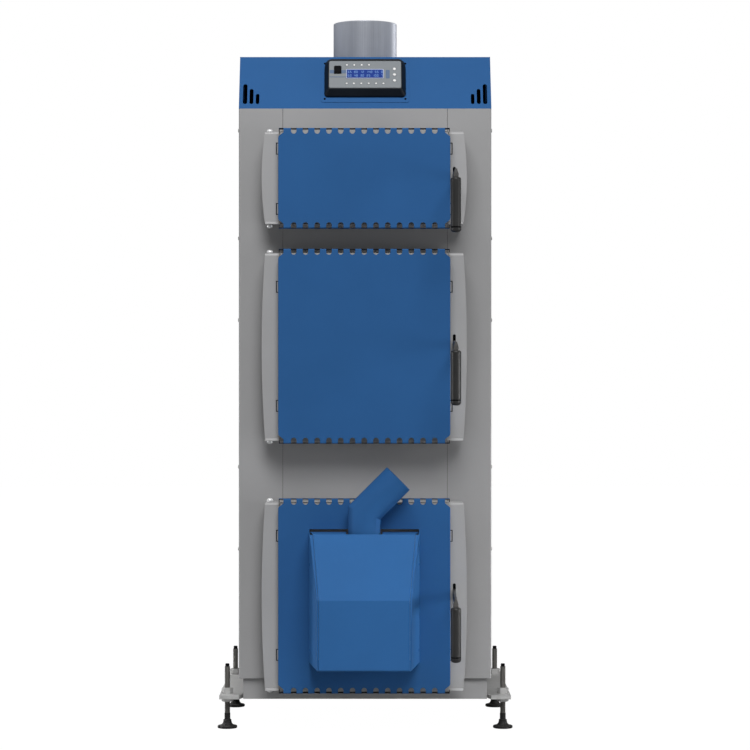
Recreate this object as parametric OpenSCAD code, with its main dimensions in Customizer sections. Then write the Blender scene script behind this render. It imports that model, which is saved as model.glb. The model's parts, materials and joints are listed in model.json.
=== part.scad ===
// Free-standing pellet boiler with three front doors, a burner on the lowest door,
// a sloped hood with a controller, a flue spigot on top and four levelling feet.
// Millimetres, +X to the right of a person facing the doors, +Y to the back, +Z up.
// The origin is on the floor, at the middle of the whole boiler's footprint.

/* [Body] */
// Width of the casing
body_w = 600; // [580:1:640]
// Depth of the casing from front panel to back panel
body_d = 520; // [500:1:600]
// Height of the casing's lower edge above the floor
casing_z = 125; // [120:1:135]
// Height of the line where the casing ends and the hood begins
hood_z = 1478; // [1470:1:1560]
// Height of the hood
hood_h = 131; // [120:1:160]
// Setback of the hood's front edge at its top
hood_setback = 67; // [50:1:80]
// Thickness of the sheet metal
sheet = 2; // [1.5:0.1:3]
// Width of the middle front panel between its two seams
panel_w = 390; // [386:1:400]
// Gap that shows as a seam beside the middle front panel
seam = 0.8; // [0.8:0.1:2.5]

/* [Doors] */
// Width of a door cover
cover_w = 403; // [398:1:406]
// Depth of a door cover in front of its tray
cover_d = 25; // [20:1:30]
// Distance of the trays' front face from the front panel
tray_reach = 63; // [60:1:66]
// Half width of a tray at its top and bottom edge
tray_half_end = 233; // [231:1:235]
// Half width of a tray at mid height, where its sides bow out
tray_half_mid = 241; // [239:1:243]
// Width of the openings that the doors close
opening_w = 330; // [320:1:334]
// Sideways place of the doors' middle
door_x = -2; // [-3:0.5:3]
// Height of the lower door cover's bottom edge
lower_cover_z = 100; // [98:1:104]
// Height of the lower door cover
lower_cover_h = 456; // [450:1:460]
// Height of the middle door cover's bottom edge
middle_cover_z = 685; // [680:1:690]
// Height of the middle door cover
middle_cover_h = 456; // [450:1:460]
// Height of the upper door cover's bottom edge
upper_cover_z = 1189; // [1185:1:1195]
// Height of the upper door cover
upper_cover_h = 235; // [225:1:240]
// Number of relief slots along a door cover's folded edge
slot_count = 13; // [5:2:13]
// Distance between two relief slots
slot_pitch = 27.5; // [24:0.5:27.5]

/* [Levers] */
// Distance of a grip's axis in front of its tray
lever_reach = 190; // [150:1:200]
// Length of a grip
grip_l = 126; // [100:1:135]
// Diameter of a grip
grip_dia = 24.4; // [20:0.2:26]
// Distance of the levers from the middle of the doors
lever_x = 209.5; // [207.5:0.5:211]

/* [Burner] */
// Distance of the burner cover's front in front of the door cover
burner_reach = 170; // [165:1:180]
// Outer diameter of the pellet inlet pipe
inlet_dia = 75; // [60:1:75]
// Length of the slanted part of the pellet inlet, along its axis
inlet_slant = 112; // [90:1:120]

/* [Flue] */
// Outer diameter of the flue spigot
flue_dia = 160; // [120:1:160]
// Height of the flue spigot above the hood
flue_rise = 124; // [80:1:160]
// Distance of the flue's axis behind the front panel
flue_back = 404; // [395:1:410]

/* [Feet] */
// Distance of the studs from the middle
stud_x = 330; // [328:1:334]
// Diameter of a foot's pad
pad_dia = 47; // [40:1:50]
// Diameter of a stud
stud_dia = 13; // [12:1:14]

/* [Hidden] */
$fn = 48;
eps = 0.01;

// Whole depth: burner cover or grips in front, pipe stubs behind.
stub_l = 38;
stub_r = 21;
stub_bore_r = 18;
stub_floor = 8;
stub_shoulder = 2;
stub_heights = [210, 1400];
cover_face = tray_reach + cover_d;
front_reach = max(cover_face + burner_reach, tray_reach + lever_reach + grip_dia / 2);
front_y = front_reach - (front_reach + body_d + stub_l) / 2;
half_w = body_w / 2;

// Feet, rails and plinth.
rail_z = 73.5;
rail_t = 9;
rail_in = 290;
rail_out = 347;
rail_top = rail_z + rail_t;
rail_front = 12;
rail_back = 508;
rail_nose = [10, 36];
stud_front = 56;
stud_back = 436;
stud_top = 154;
tip_l = 7;
plinth_z = 75;
plinth_inset = 10;
plinth_ends = 11;
nut_across = 24;
nut_upper_h = 14;
nut_lower_h = 10;

// Chambers behind the doors and the walls round them.
opening_half = opening_w / 2;
jacket_half = 270;
jacket_front = sheet;
chamber_back = 400;
jacket_back_y = 470;
frame_w = 18;
frame_reach = 14;
frame_half = opening_half + frame_w;

// Doors: each tray ends below and above inside its cover by its two margins, the opening further in.
upper_margins = [11, 6];
middle_margins = [6, 8.5];
lower_margins = [4, 9.5];
opening_margin = 50;
tray_back = 18;
chamfer_w = 12.5;
chamfer_h = 10;
fold_h = 10.5;
flange_inset = 1.5;
slot_w = 13;
slot_drop = 14;
slot_depth = 9;
slit_h = 27;
slit_in = 2;
slit_out = 5.5;
slit_gap = 1.2;
plug_half = 148;
plug_gap = 12;
plug_depth = 12;
gasket_y = 20;

// Hinges.
pin_x = -225;
pin_reach = 31;
pin_r = 5;
lug_r = 9.5;
lug_t = 6;
lug_gap = 1;
head_r = 8.5;
head_h = 6;

// Levers: a flat bar through a slot in the tray, on a pin behind it.
pivot_reach = 35;
bar_t = 5.4;
grip_shift = 3;
bar_top = 13.5;
bar_low = 8.5;
lever_slot_w = 8.4;
lever_slot_top = 30;
lever_slot_low = 13.5;
hub_r = 12;
pivot_r = 4;
cheek_t = 3.5;
cheek_gap = 1.5;
grip_drop = 10.5;

// Burner and its cover.
burner_rim_half = 129.3;
burner_front_half = 107.4;
burner_brow_half = 126;
burner_low = 174;
burner_bend = 333;
burner_high = 477;
burner_brow = 82;
burner_axis_z = 330;
burner_casing_half = 95;
burner_casing_low = 192;
burner_tube_r = 60;
burner_tube_wall = 6;
burner_floor = 60;
burner_tube_end = 150;
inlet_reach = 129;
inlet_bend_z = 526;
inlet_wall = 1.5;
inlet_foot_z = 450;
inlet_shoulder = 28;
spigot_step = 0.5;
flue_step = 1.5;

// Hood: three upright vents at each front corner, six in each side.
front_vents = [[255, 25.5], [269.5, 38], [284.5, 50]];
front_vent_w = 8.8;
front_vent_z = 11.5;
side_vents = 6;
side_vent_start = 150;
side_vent_pitch = 22;
side_vent_w = 8;
side_vent_h = 56;

// Controller: v runs up the hood's slope, w stands out from it.
plate_half = 105;
plate_low = 17;
plate_high = 143;
case_half = 97;
case_low = 31;
case_high = 137;
case_bend = 107;
case_taper = 11;
case_foot = 5;
case_rise = 18.5;
window_half = 88;
window_low = 41.5;
window_high = 122;
face_half = 86;
face_low = 44.5;
face_high = 120.5;
face_t = 1.5;

// Slope of the hood's front.
slope_angle = atan(hood_setback / hood_h);

// Middle heights of the doors.
upper_mid = upper_cover_z + upper_cover_h / 2;
middle_mid = middle_cover_z + middle_cover_h / 2;
lower_mid = lower_cover_z + lower_cover_h / 2;

// Ends of the chambers, from the openings.
lower_floor = lower_cover_z + opening_margin;
lower_roof = lower_cover_z + lower_cover_h - opening_margin;
middle_floor = middle_cover_z + opening_margin;
middle_roof = middle_cover_z + middle_cover_h - opening_margin;
upper_floor = upper_cover_z + opening_margin;
upper_roof = upper_cover_z + upper_cover_h - opening_margin;
jacket_top = hood_z - 8;

// A box from its lowest to its highest corner, with Y counted from the front panel.
module block(low, high) {
    translate([low[0], front_y + low[1], low[2]])
        cube(high - low);
}

// A 2D outline drawn in X and Z stands up as a sheet whose front face is at -reach.
module upright(reach, thickness) {
    translate([0, front_y - reach + thickness, 0])
        rotate([90, 0, 0])
            linear_extrude(thickness)
                children();
}

// A 2D outline drawn in Y and Z becomes a slab that is centred on X = centre.
module edgewise(centre, thickness) {
    translate([centre - thickness / 2, front_y, 0])
        rotate([90, 0, 90])
            linear_extrude(thickness)
                children();
}

module mirrored(side) {
    mirror([side < 0 ? 1 : 0, 0, 0])
        children();
}

// ---------------------------------------------------------------- base

module plinth() {
    color("gray")
        block([-half_w + plinth_inset, plinth_ends, plinth_z],
              [half_w - plinth_inset, body_d - plinth_ends, casing_z]);
}

module rail(side) {
    color("silver")
        mirrored(side)
            difference() {
                translate([0, front_y, rail_z])
                    linear_extrude(rail_t)
                        polygon([
                            [rail_in + rail_nose[0], rail_front],
                            [rail_out, rail_front],
                            [rail_out, rail_back],
                            [rail_in, rail_back],
                            [rail_in, rail_front + rail_nose[1]]
                        ]);
                for (back = [stud_front, stud_back])
                    translate([stud_x, front_y + back, rail_z - 1])
                        cylinder(h = rail_t + 2, d = stud_dia + 0.6);
            }
}

module foot(side, back) {
    color("dimgray")
        translate([side * stud_x, front_y + back, 0])
            union() {
                rotate_extrude()
                    polygon([
                        [0, 0],
                        [pad_dia / 2, 0],
                        [pad_dia / 2, 6],
                        [11, 12],
                        [9.5, 20],
                        [7, 20],
                        [7, 36],
                        [stud_dia / 2, 36],
                        [stud_dia / 2, stud_top - tip_l],
                        [stud_dia / 2 - 1.7, stud_top - tip_l],
                        [stud_dia / 2 - 2.2, stud_top],
                        [0, stud_top]
                    ]);
                translate([0, 0, rail_top])
                    cylinder(h = nut_upper_h, d = nut_across / cos(30), $fn = 6);
                translate([0, 0, rail_z - nut_lower_h])
                    cylinder(h = nut_lower_h, d = nut_across / cos(30), $fn = 6);
            }
}

// ---------------------------------------------------------------- casing

module casing_side(side) {
    strip_end = panel_w / 2 + seam;
    color("darkgray")
        mirrored(side) {
            block([half_w - sheet, 0, casing_z], [half_w, body_d - sheet, hood_z]);
            block([strip_end, 0, casing_z], [half_w - sheet + eps, sheet, hood_z]);
        }
}

module casing_back() {
    color("darkgray")
        difference() {
            block([-half_w, body_d - sheet, casing_z], [half_w, body_d, hood_z]);
            for (z = stub_heights)
                translate([0, front_y + body_d - 10, z])
                    rotate([-90, 0, 0])
                        cylinder(h = 20, r = stub_r + 1);
        }
}

module front_panel() {
    color("darkgray")
        upright(0, sheet)
            difference() {
                translate([-panel_w / 2, casing_z])
                    square([panel_w, hood_z - casing_z]);
                frame_outline(lower_floor, lower_roof);
                frame_outline(middle_floor, middle_roof);
                frame_outline(upper_floor, upper_roof);
            }
}

// Outer outline of a door frame, a hair wider than the frame itself.
module frame_outline(floor_z, roof_z) {
    fit = 0.2;
    translate([-frame_half - fit, floor_z - frame_w - fit])
        square([2 * (frame_half + fit), roof_z - floor_z + 2 * (frame_w + fit)]);
}

// ---------------------------------------------------------------- jacket

module jacket_side(side) {
    color("firebrick")
        mirrored(side)
            block([opening_half, jacket_front, casing_z], [jacket_half, jacket_back_y, jacket_top]);
}

module jacket_back() {
    color("firebrick")
        block([-opening_half, chamber_back, casing_z], [opening_half, jacket_back_y, jacket_top]);
}

module deck(low, high) {
    color("firebrick")
        block([-opening_half, jacket_front, low], [opening_half, chamber_back, high]);
}

// ---------------------------------------------------------------- door frames

// Ring round an opening, with two hinge lugs on the left and a keeper on the right.
module door_frame(floor_z, roof_z, margins) {
    mid = (floor_z + roof_z) / 2;
    tray_low = floor_z - opening_margin + margins[0];
    tray_high = roof_z + opening_margin - margins[1];
    color("slategray")
        union() {
            difference() {
                block([-frame_half, -frame_reach, floor_z - frame_w],
                      [frame_half, jacket_front, roof_z + frame_w]);
                block([-opening_half, -frame_reach - 1, floor_z], [opening_half, jacket_front + 1, roof_z]);
            }
            hinge_lug(tray_high - sheet - lug_gap - lug_t, roof_z);
            hinge_lug(tray_low + sheet + lug_gap, floor_z - frame_w);
            keeper(mid);
        }
}

// Lug plate with its pin bore, on a post that rises from the ring.
module hinge_lug(z, post_z) {
    low = min(z, post_z);
    high = max(z + lug_t, post_z + frame_w);
    wall_gap = 1;
    difference() {
        union() {
            translate([0, front_y, z])
                linear_extrude(lug_t)
                    union() {
                        translate([pin_x, -pin_reach])
                            circle(lug_r);
                        polygon([
                            [pin_x - lug_r, -pin_reach],
                            [pin_x - lug_r, -wall_gap],
                            [-opening_half - 1, -wall_gap],
                            [-opening_half - 1, -frame_reach],
                            [pin_x + lug_r, -pin_reach]
                        ]);
                    }
            block([-frame_half, -frame_reach, low], [-opening_half - 1, -wall_gap, high]);
        }
        translate([pin_x, front_y - pin_reach, z - 1])
            cylinder(h = lug_t + 2, r = pin_r + 0.08);
    }
}

// Bracket whose lip hangs over the tip of the lever's hook.
module keeper(mid) {
    lip_front = 20;
    lip_t = 4;
    lip_low = 15;
    shelf_low = 24;
    shelf_t = 6;
    lip_half = 6;
    block([frame_half - 1, -lip_front, mid + shelf_low],
          [lever_x + lip_half, -3, mid + shelf_low + shelf_t]);
    block([lever_x - lip_half, -lip_front, mid + lip_low],
          [lever_x + lip_half, -lip_front + lip_t, mid + shelf_low + 1]);
}

// ---------------------------------------------------------------- hood and controller

module hood() {
    inner_top = hood_h - sheet;
    inner_lean = hood_setback * inner_top / hood_h;
    color("royalblue")
        difference() {
            edgewise(0, body_w)
                polygon([
                    [0, hood_z],
                    [body_d, hood_z],
                    [body_d, hood_z + hood_h],
                    [hood_setback, hood_z + hood_h]
                ]);
            edgewise(0, body_w - 2 * sheet)
                polygon([
                    [sheet, hood_z - 1],
                    [body_d - sheet, hood_z - 1],
                    [body_d - sheet, hood_z + inner_top],
                    [inner_lean + sheet, hood_z + inner_top],
                    [sheet, hood_z]
                ]);
            translate([0, front_y + flue_back, hood_z + inner_top - 1])
                cylinder(h = sheet + 2, d = flue_dia + 4);
            for (side = [-1, 1], vent = front_vents)
                translate([side * vent[0], front_y + hood_setback, hood_z + front_vent_z])
                    rotate([90, 0, 0])
                        vent_cut(front_vent_w, vent[1], hood_setback + 10);
            for (k = [0:side_vents - 1])
                translate([-half_w - 1, front_y + side_vent_start + k * side_vent_pitch,
                           hood_z + (hood_h - side_vent_h) / 2])
                    rotate([90, 0, 90])
                        vent_cut(side_vent_w, side_vent_h, body_w + 2);
        }
}

// A slot with round ends that stands on the origin and reaches up along Z.
module vent_cut(width, height, through) {
    r = width / 2;
    translate([0, r, 0])
        cylinder(h = through, r = r);
    translate([0, height - r, 0])
        cylinder(h = through, r = r);
    translate([-r, r, 0])
        cube([width, height - width, through]);
}

// The wall that takes the flue pipe starts spigot_rise above the hood.
module flue_spigot() {
    wall = 3;
    floor_t = 12;
    spigot_rise = 4;
    spigot_z = hood_z + hood_h + spigot_rise;
    spigot_top = hood_z + hood_h + flue_rise;
    color("lightslategray")
        translate([0, front_y + flue_back, 0])
            difference() {
                union() {
                    translate([0, 0, jacket_top])
                        cylinder(h = spigot_z - jacket_top + eps, d = flue_dia - 2 * flue_step, $fn = 96);
                    translate([0, 0, spigot_z])
                        cylinder(h = spigot_top - spigot_z, d = flue_dia, $fn = 96);
                }
                translate([0, 0, jacket_top + floor_t])
                    cylinder(h = spigot_top - jacket_top, d = flue_dia - 2 * wall, $fn = 96);
            }
}

// Moves a shape drawn in X, w (towards the viewer as -Y) and v (as Z) onto the hood's front.
module on_slope() {
    translate([0, front_y, hood_z])
        rotate([-slope_angle, 0, 0])
            children();
}

module controller_plate() {
    color("royalblue")
        on_slope()
            translate([-plate_half, -sheet - eps, plate_low])
                cube([2 * plate_half, sheet, plate_high - plate_low]);
}

module controller_housing() {
    color("dimgray")
        on_slope()
            hull() {
                translate([-case_half, -sheet - eps - case_foot, case_low])
                    cube([2 * case_half, case_foot, case_bend - case_low]);
                translate([case_taper - case_half, -sheet - eps - case_foot, case_bend])
                    cube([2 * (case_half - case_taper), case_foot, case_high - case_bend]);
                translate([-window_half, -sheet - case_rise, window_low])
                    cube([2 * window_half, 2, window_high - window_low]);
            }
}

module controller_face() {
    color("gainsboro")
        on_slope()
            translate([-face_half, -sheet - case_rise - face_t, face_low])
                cube([2 * face_half, face_t, face_high - face_low]);
}

// The wall that takes the heating pipe starts stub_shoulder behind the back panel.
module water_stubs() {
    shoulder = body_d + stub_shoulder - jacket_back_y;
    color("firebrick")
        for (z = stub_heights)
            translate([0, front_y + jacket_back_y, z])
                rotate([-90, 0, 0])
                    difference() {
                        union() {
                            cylinder(h = shoulder + eps, r = stub_r - spigot_step);
                            translate([0, 0, shoulder])
                                cylinder(h = stub_l - stub_shoulder, r = stub_r);
                        }
                        translate([0, 0, stub_floor])
                            cylinder(h = body_d, r = stub_bore_r);
                    }
}

// ---------------------------------------------------------------- doors

// Front outline of a tray: flat at top and bottom, bowed at both sides.
module tray_outline(height) {
    bow = tray_half_mid - tray_half_end;
    bow_r = (pow(height / 2, 2) + bow * bow) / (2 * bow);
    intersection() {
        square([3 * tray_half_mid, height], center = true);
        translate([tray_half_mid - bow_r, 0])
            circle(bow_r, $fn = 360);
        translate([bow_r - tray_half_mid, 0])
            circle(bow_r, $fn = 360);
    }
}

// Grey tray that carries the cover in front and the plug behind.
module tray(cover_z, cover_h, margins, hole_z = 0) {
    mid = cover_z + cover_h / 2;
    low = cover_z + margins[0];
    high = cover_z + cover_h - margins[1];
    color("lightgray")
        union() {
            difference() {
                upright(tray_reach, sheet)
                    translate([0, mid])
                        difference() {
                            translate([door_x, (low + high) / 2 - mid])
                                tray_outline(high - low);
                            for (side = [-1, 1], z = [-1, 1])
                                translate([door_x + side * cover_w / 2, z * slit_rise(cover_h)])
                                    mirror([side < 0 ? 1 : 0, 0])
                                        slit();
                            translate([lever_x - lever_slot_w / 2, -lever_slot_low])
                                square([lever_slot_w, lever_slot_top + lever_slot_low]);
                        }
                if (hole_z > 0)
                    translate([door_x, front_y - tray_reach - 5, hole_z])
                        rotate([-90, 0, 0])
                            cylinder(h = sheet + 10, r = burner_tube_r + 1);
            }
            tray_flange(low + sheet / 2);
            tray_flange(high - sheet / 2);
            for (side = [-1, 1])
                latch_cheek(lever_x + side * (bar_t / 2 + cheek_gap + cheek_t / 2), mid);
            edgewise(lever_x, bar_t + 2 * (cheek_gap + cheek_t) + 2)
                translate([-pivot_reach, mid])
                    circle(pivot_r);
        }
}

// Height of a slit's middle above or below the middle of its door.
function slit_rise(cover_h) = 0.34 * cover_h - 15;

// Thin cut round a clip of the tray, beside the cover's edge.
module slit() {
    difference() {
        translate([-slit_in, -slit_h / 2])
            square([slit_in + slit_out, slit_h]);
        translate([-slit_in - 1, -slit_h / 2 + slit_gap])
            square([slit_in + 1 + slit_out - slit_gap, slit_h - 2 * slit_gap]);
    }
}

module tray_flange(z) {
    half = tray_half_end - 1;
    difference() {
        block([door_x - half, -tray_reach, z - sheet / 2], [door_x + half, -tray_back, z + sheet / 2]);
        translate([pin_x, front_y - pin_reach, z - 5])
            cylinder(h = 10, r = pin_r + 0.3);
    }
}

module latch_cheek(x, mid) {
    cheek_half = 12;
    edgewise(x, cheek_t)
        union() {
            translate([-tray_reach + sheet - eps, mid - cheek_half])
                square([tray_reach - sheet - pivot_reach, 2 * cheek_half]);
            translate([-pivot_reach, mid])
                circle(8);
        }
}

// Blue cover: a shallow pan with open corners and a row of relief slots at top and bottom.
module cover(cover_z, cover_h) {
    mid = cover_z + cover_h / 2;
    half = cover_w / 2;
    half_h = cover_h / 2;
    inner = half - chamfer_w;
    flap_half = half_h - fold_h - chamfer_h - 2;
    color("steelblue")
        translate([door_x, 0, 0])
            difference() {
                union() {
                    upright(cover_face, sheet)
                        translate([0, mid])
                            polygon([
                                [-inner, -half_h],
                                [inner, -half_h],
                                [inner, -half_h + fold_h],
                                [half, -half_h + fold_h + chamfer_h],
                                [half, half_h - fold_h - chamfer_h],
                                [inner, half_h - fold_h],
                                [inner, half_h],
                                [-inner, half_h],
                                [-inner, half_h - fold_h],
                                [-half, half_h - fold_h - chamfer_h],
                                [-half, -half_h + fold_h + chamfer_h],
                                [-inner, -half_h + fold_h]
                            ]);
                    for (side = [-1, 1]) {
                        cover_flange(mid + side * (half_h - sheet / 2));
                        mirrored(side)
                            block([half - sheet, -cover_face, mid - flap_half],
                                  [half, -tray_reach - 6, mid + flap_half]);
                    }
                }
                for (side = [-1, 1])
                    for (k = [0:slot_count - 1])
                        relief_slot((k - (slot_count - 1) / 2) * slot_pitch, mid + side * half_h, side);
            }
}

// Top or bottom flange of a cover, a little wider than the face between its chamfers.
module cover_flange(z) {
    half = cover_w / 2 - flange_inset;
    block([-half, -cover_face + sheet / 2, z - sheet / 2], [half, -tray_reach - 1, z + sheet / 2]);
    block([-half + chamfer_w, -cover_face, z - sheet / 2],
          [half - chamfer_w, -tray_reach - 1, z + sheet / 2]);
}

// The lower cover is cut out behind the burner's own cover.
module cover_lower() {
    gap = 8;
    cut_half = burner_rim_half - 1.3;
    color("steelblue")
        difference() {
            cover(lower_cover_z, lower_cover_h);
            block([door_x - cut_half, -cover_face - 2, burner_low + 4],
                  [door_x + cut_half, -cover_face + sheet + 2, burner_high + gap]);
        }
}

// One relief slot across the fold, with a round end on the face.
module relief_slot(x, edge_z, side) {
    r = slot_w / 2;
    cut = sheet + 2;
    translate([x, front_y - cover_face - 1, edge_z])
        mirror([0, 0, side > 0 ? 1 : 0]) {
            translate([-r, 0, -1])
                cube([slot_w, slot_depth, slot_drop - r + 1]);
            translate([0, 0, slot_drop - r])
                rotate([-90, 0, 0])
                    cylinder(h = cut, r = r, $fn = 24);
        }
}

// Insulated plug behind the tray: a wide step for the seal and a nose inside the opening.
module plug(floor_z, roof_z, hole_z = 0) {
    color("dimgray")
        difference() {
            union() {
                block([-frame_half, -tray_reach + sheet, floor_z - frame_w],
                      [frame_half, -gasket_y, roof_z + frame_w]);
                block([-plug_half, -gasket_y - eps, floor_z + plug_gap],
                      [plug_half, plug_depth, roof_z - plug_gap]);
            }
            if (hole_z > 0)
                translate([door_x, front_y - tray_reach - 1, hole_z])
                    rotate([-90, 0, 0])
                        cylinder(h = tray_reach + plug_depth + 10, r = burner_tube_r + 1);
        }
}

// Two domed hinge pins, one through each end of the tray.
module hinge_pins(cover_z, cover_h, margins) {
    low = cover_z + margins[0];
    high = cover_z + cover_h - margins[1];
    shank = sheet + lug_gap + lug_t + 3;
    color("white")
        for (side = [-1, 1])
            translate([pin_x, front_y - pin_reach, side < 0 ? low : high])
                mirror([0, 0, side < 0 ? 1 : 0])
                    rotate_extrude()
                        difference() {
                            union() {
                                translate([0, -shank])
                                    square([pin_r, shank + 1]);
                                intersection() {
                                    translate([0, -head_h * 0.35])
                                        circle(head_h * 1.35);
                                    square([head_r, head_h]);
                                }
                            }
                            translate([-20, -40])
                                square([20, 80]);
                        }
}

// ---------------------------------------------------------------- levers

module lever(mid) {
    tip_y = -tray_reach - lever_reach;
    neck_z = mid - grip_drop;
    color("dimgray")
        union() {
            difference() {
                edgewise(lever_x, bar_t)
                    union() {
                        translate([-pivot_reach, mid])
                            circle(hub_r);
                        polygon([
                            [-pivot_reach, mid - bar_low],
                            [-pivot_reach, mid + bar_low],
                            [-tray_reach, mid + bar_top],
                            [tip_y + 2, mid + 2],
                            [tip_y - 5, mid - 3],
                            [tip_y - 5, neck_z + 0.5],
                            [-tray_reach - 20, mid - bar_low]
                        ]);
                        polygon([
                            [-pivot_reach, mid - 7],
                            [-8, mid - 5],
                            [-8, mid + 7],
                            [-12, mid + 7],
                            [-12, mid + 3],
                            [-pivot_reach, mid + 6]
                        ]);
                    }
                edgewise(lever_x, bar_t + 2)
                    translate([-pivot_reach, mid])
                        circle(pivot_r + 0.08);
            }
            translate([lever_x - grip_shift, front_y + tip_y, neck_z - 40])
                cylinder(h = 42, r = 4.5);
        }
}

module grip(mid) {
    tip_y = -tray_reach - lever_reach;
    r = grip_dia / 2;
    color("black")
        translate([lever_x - grip_shift, front_y + tip_y, mid - grip_drop])
            rotate_extrude()
                polygon([
                    [4.6, 0],
                    [r - 6, 0],
                    [r - 2, -1.5],
                    [r, -4.5],
                    [r, -grip_l + 15],
                    [r - 0.8, -grip_l + 14],
                    [r - 0.8, -grip_l + 12.5],
                    for (a = [0:15:90]) [r * cos(a), -grip_l + 11 * (1 - sin(a))],
                    [0, -42],
                    [4.6, -42]
                ]);
}

// ---------------------------------------------------------------- burner

// Burner casing in front of the tray, and its tube through the plug into the chamber.
module burner() {
    color("slategray")
        translate([door_x, front_y, burner_axis_z])
            difference() {
                union() {
                    translate([-burner_casing_half, -cover_face - burner_brow,
                               burner_casing_low - burner_axis_z])
                        cube([2 * burner_casing_half, cover_d + burner_brow,
                              inlet_foot_z - burner_casing_low]);
                    translate([0, -tray_reach - 1, 0])
                        rotate([-90, 0, 0])
                            cylinder(h = tray_reach + burner_tube_end + 1, r = burner_tube_r);
                }
                translate([0, burner_floor, 0])
                    rotate([-90, 0, 0])
                        cylinder(h = burner_tube_end, r = burner_tube_r - burner_tube_wall);
            }
}

// Corner points of the burner cover's outer form, shrunk by inset.
module cover_form(inset) {
    rim = cover_face + 0.1;
    brow_y = -rim - burner_brow + inset;
    face_y = -rim - burner_reach + inset;
    dot = 0.02;
    low = burner_low + inset;
    high = burner_high - inset;
    corners = [
        [burner_rim_half - inset, -rim + inset * 0.6, low],
        [burner_rim_half - inset, -rim + inset * 0.6, high],
        [burner_brow_half - inset, brow_y, high],
        [burner_front_half - inset, face_y, low],
        [burner_front_half - inset, face_y, burner_bend - inset * 0.5]
    ];
    hull()
        for (p = corners)
            for (side = [-1, 1])
                translate([door_x + side * p[0] - dot / 2, front_y + p[1], p[2] - dot / 2])
                    cube([dot, dot, dot]);
}

module burner_cover() {
    notch_half = inlet_dia / 2 + 5;
    color("steelblue")
        difference() {
            cover_form(0);
            cover_form(sheet);
            block([door_x - burner_rim_half + sheet, -cover_face - 1, burner_low + sheet],
                  [door_x + burner_rim_half - sheet, -cover_face + 1, burner_high - sheet]);
            block([door_x - notch_half, -inlet_reach - inlet_dia / 2 - 3, burner_high - 6],
                  [door_x + notch_half, -cover_face + 1, burner_high + 1]);
        }
}

// Pipe that rises from the burner and leans to the right at 45 degrees.
module pellet_inlet() {
    r = inlet_dia / 2;
    color("steelblue")
        translate([door_x, front_y - inlet_reach, 0])
            difference() {
                union() {
                    inlet_form(r - spigot_step, 0);
                    slanted()
                        translate([0, 0, inlet_shoulder])
                            cylinder(h = inlet_slant - inlet_shoulder, r = r, $fn = 96);
                }
                inlet_form(r - inlet_wall - spigot_step, 2);
            }
}

// Moves a shape drawn along Z onto the axis of the slanted pipe.
module slanted() {
    translate([0, 0, inlet_bend_z])
        rotate([0, 45, 0])
            children();
}

// Upright pipe and slanted pipe, each cut on the mitre between them.
module inlet_form(r, over) {
    reach = 300;
    intersection() {
        translate([0, 0, inlet_foot_z - over])
            cylinder(h = inlet_bend_z - inlet_foot_z + over + 2 * r, r = r, $fn = 96);
        mitre_side(reach, -1);
    }
    intersection() {
        slanted()
            translate([0, 0, -2 * r])
                cylinder(h = 2 * r + inlet_slant + over, r = r, $fn = 96);
        mitre_side(reach, 1);
    }
}

// Half space on one side of the mitre plane through the bend.
module mitre_side(reach, side) {
    translate([0, 0, inlet_bend_z])
        rotate([0, 22.5, 0])
            translate([-reach, -reach, side > 0 ? -eps : -reach])
                cube([2 * reach, 2 * reach, reach]);
}

// ---------------------------------------------------------------- nodes

plinth();
rail(-1);  // rail_left
rail(1);  // rail_right
foot(-1, stud_front);  // foot_front_left
foot(1, stud_front);  // foot_front_right
foot(-1, stud_back);  // foot_rear_left
foot(1, stud_back);  // foot_rear_right
casing_side(-1);  // casing_left
casing_side(1);  // casing_right
casing_back();
front_panel();
jacket_side(-1);  // jacket_left
jacket_side(1);  // jacket_right
jacket_back();
deck(casing_z, lower_floor);  // deck_base
deck(lower_roof, middle_floor);  // deck_lower
deck(middle_roof, upper_floor);  // deck_upper
deck(upper_roof, jacket_top);  // deck_top
door_frame(upper_floor, upper_roof, upper_margins);  // door_frame_upper
door_frame(middle_floor, middle_roof, middle_margins);  // door_frame_middle
door_frame(lower_floor, lower_roof, lower_margins);  // door_frame_lower
hood();
flue_spigot();
controller_plate();
controller_housing();
controller_face();
water_stubs();
tray(upper_cover_z, upper_cover_h, upper_margins);  // tray_upper
cover(upper_cover_z, upper_cover_h);  // cover_upper
plug(upper_floor, upper_roof);  // plug_upper
hinge_pins(upper_cover_z, upper_cover_h, upper_margins);  // hinge_pins_upper
tray(middle_cover_z, middle_cover_h, middle_margins);  // tray_middle
cover(middle_cover_z, middle_cover_h);  // cover_middle
plug(middle_floor, middle_roof);  // plug_middle
hinge_pins(middle_cover_z, middle_cover_h, middle_margins);  // hinge_pins_middle
tray(lower_cover_z, lower_cover_h, lower_margins, burner_axis_z);  // tray_lower
cover_lower();
plug(lower_floor, lower_roof, burner_axis_z);  // plug_lower
hinge_pins(lower_cover_z, lower_cover_h, lower_margins);  // hinge_pins_lower
burner();
burner_cover();
pellet_inlet();
lever(upper_mid);  // lever_upper
grip(upper_mid);  // grip_upper
lever(middle_mid);  // lever_middle
grip(middle_mid);  // grip_middle
lever(lower_mid);  // lever_lower
grip(lower_mid);  // grip_lower
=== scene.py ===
"""Looks of a free-standing pellet boiler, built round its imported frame.

Folded sheet-metal parts are cut as flat blanks and folded over rounded creases, turned parts are
lathed, and every finish is a procedural material. All places come from the boxes of the frame.
"""

from __future__ import annotations

import json
import logging
import math
from collections.abc import Callable, Iterable, Sequence
from dataclasses import dataclass, field
from enum import Enum

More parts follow.
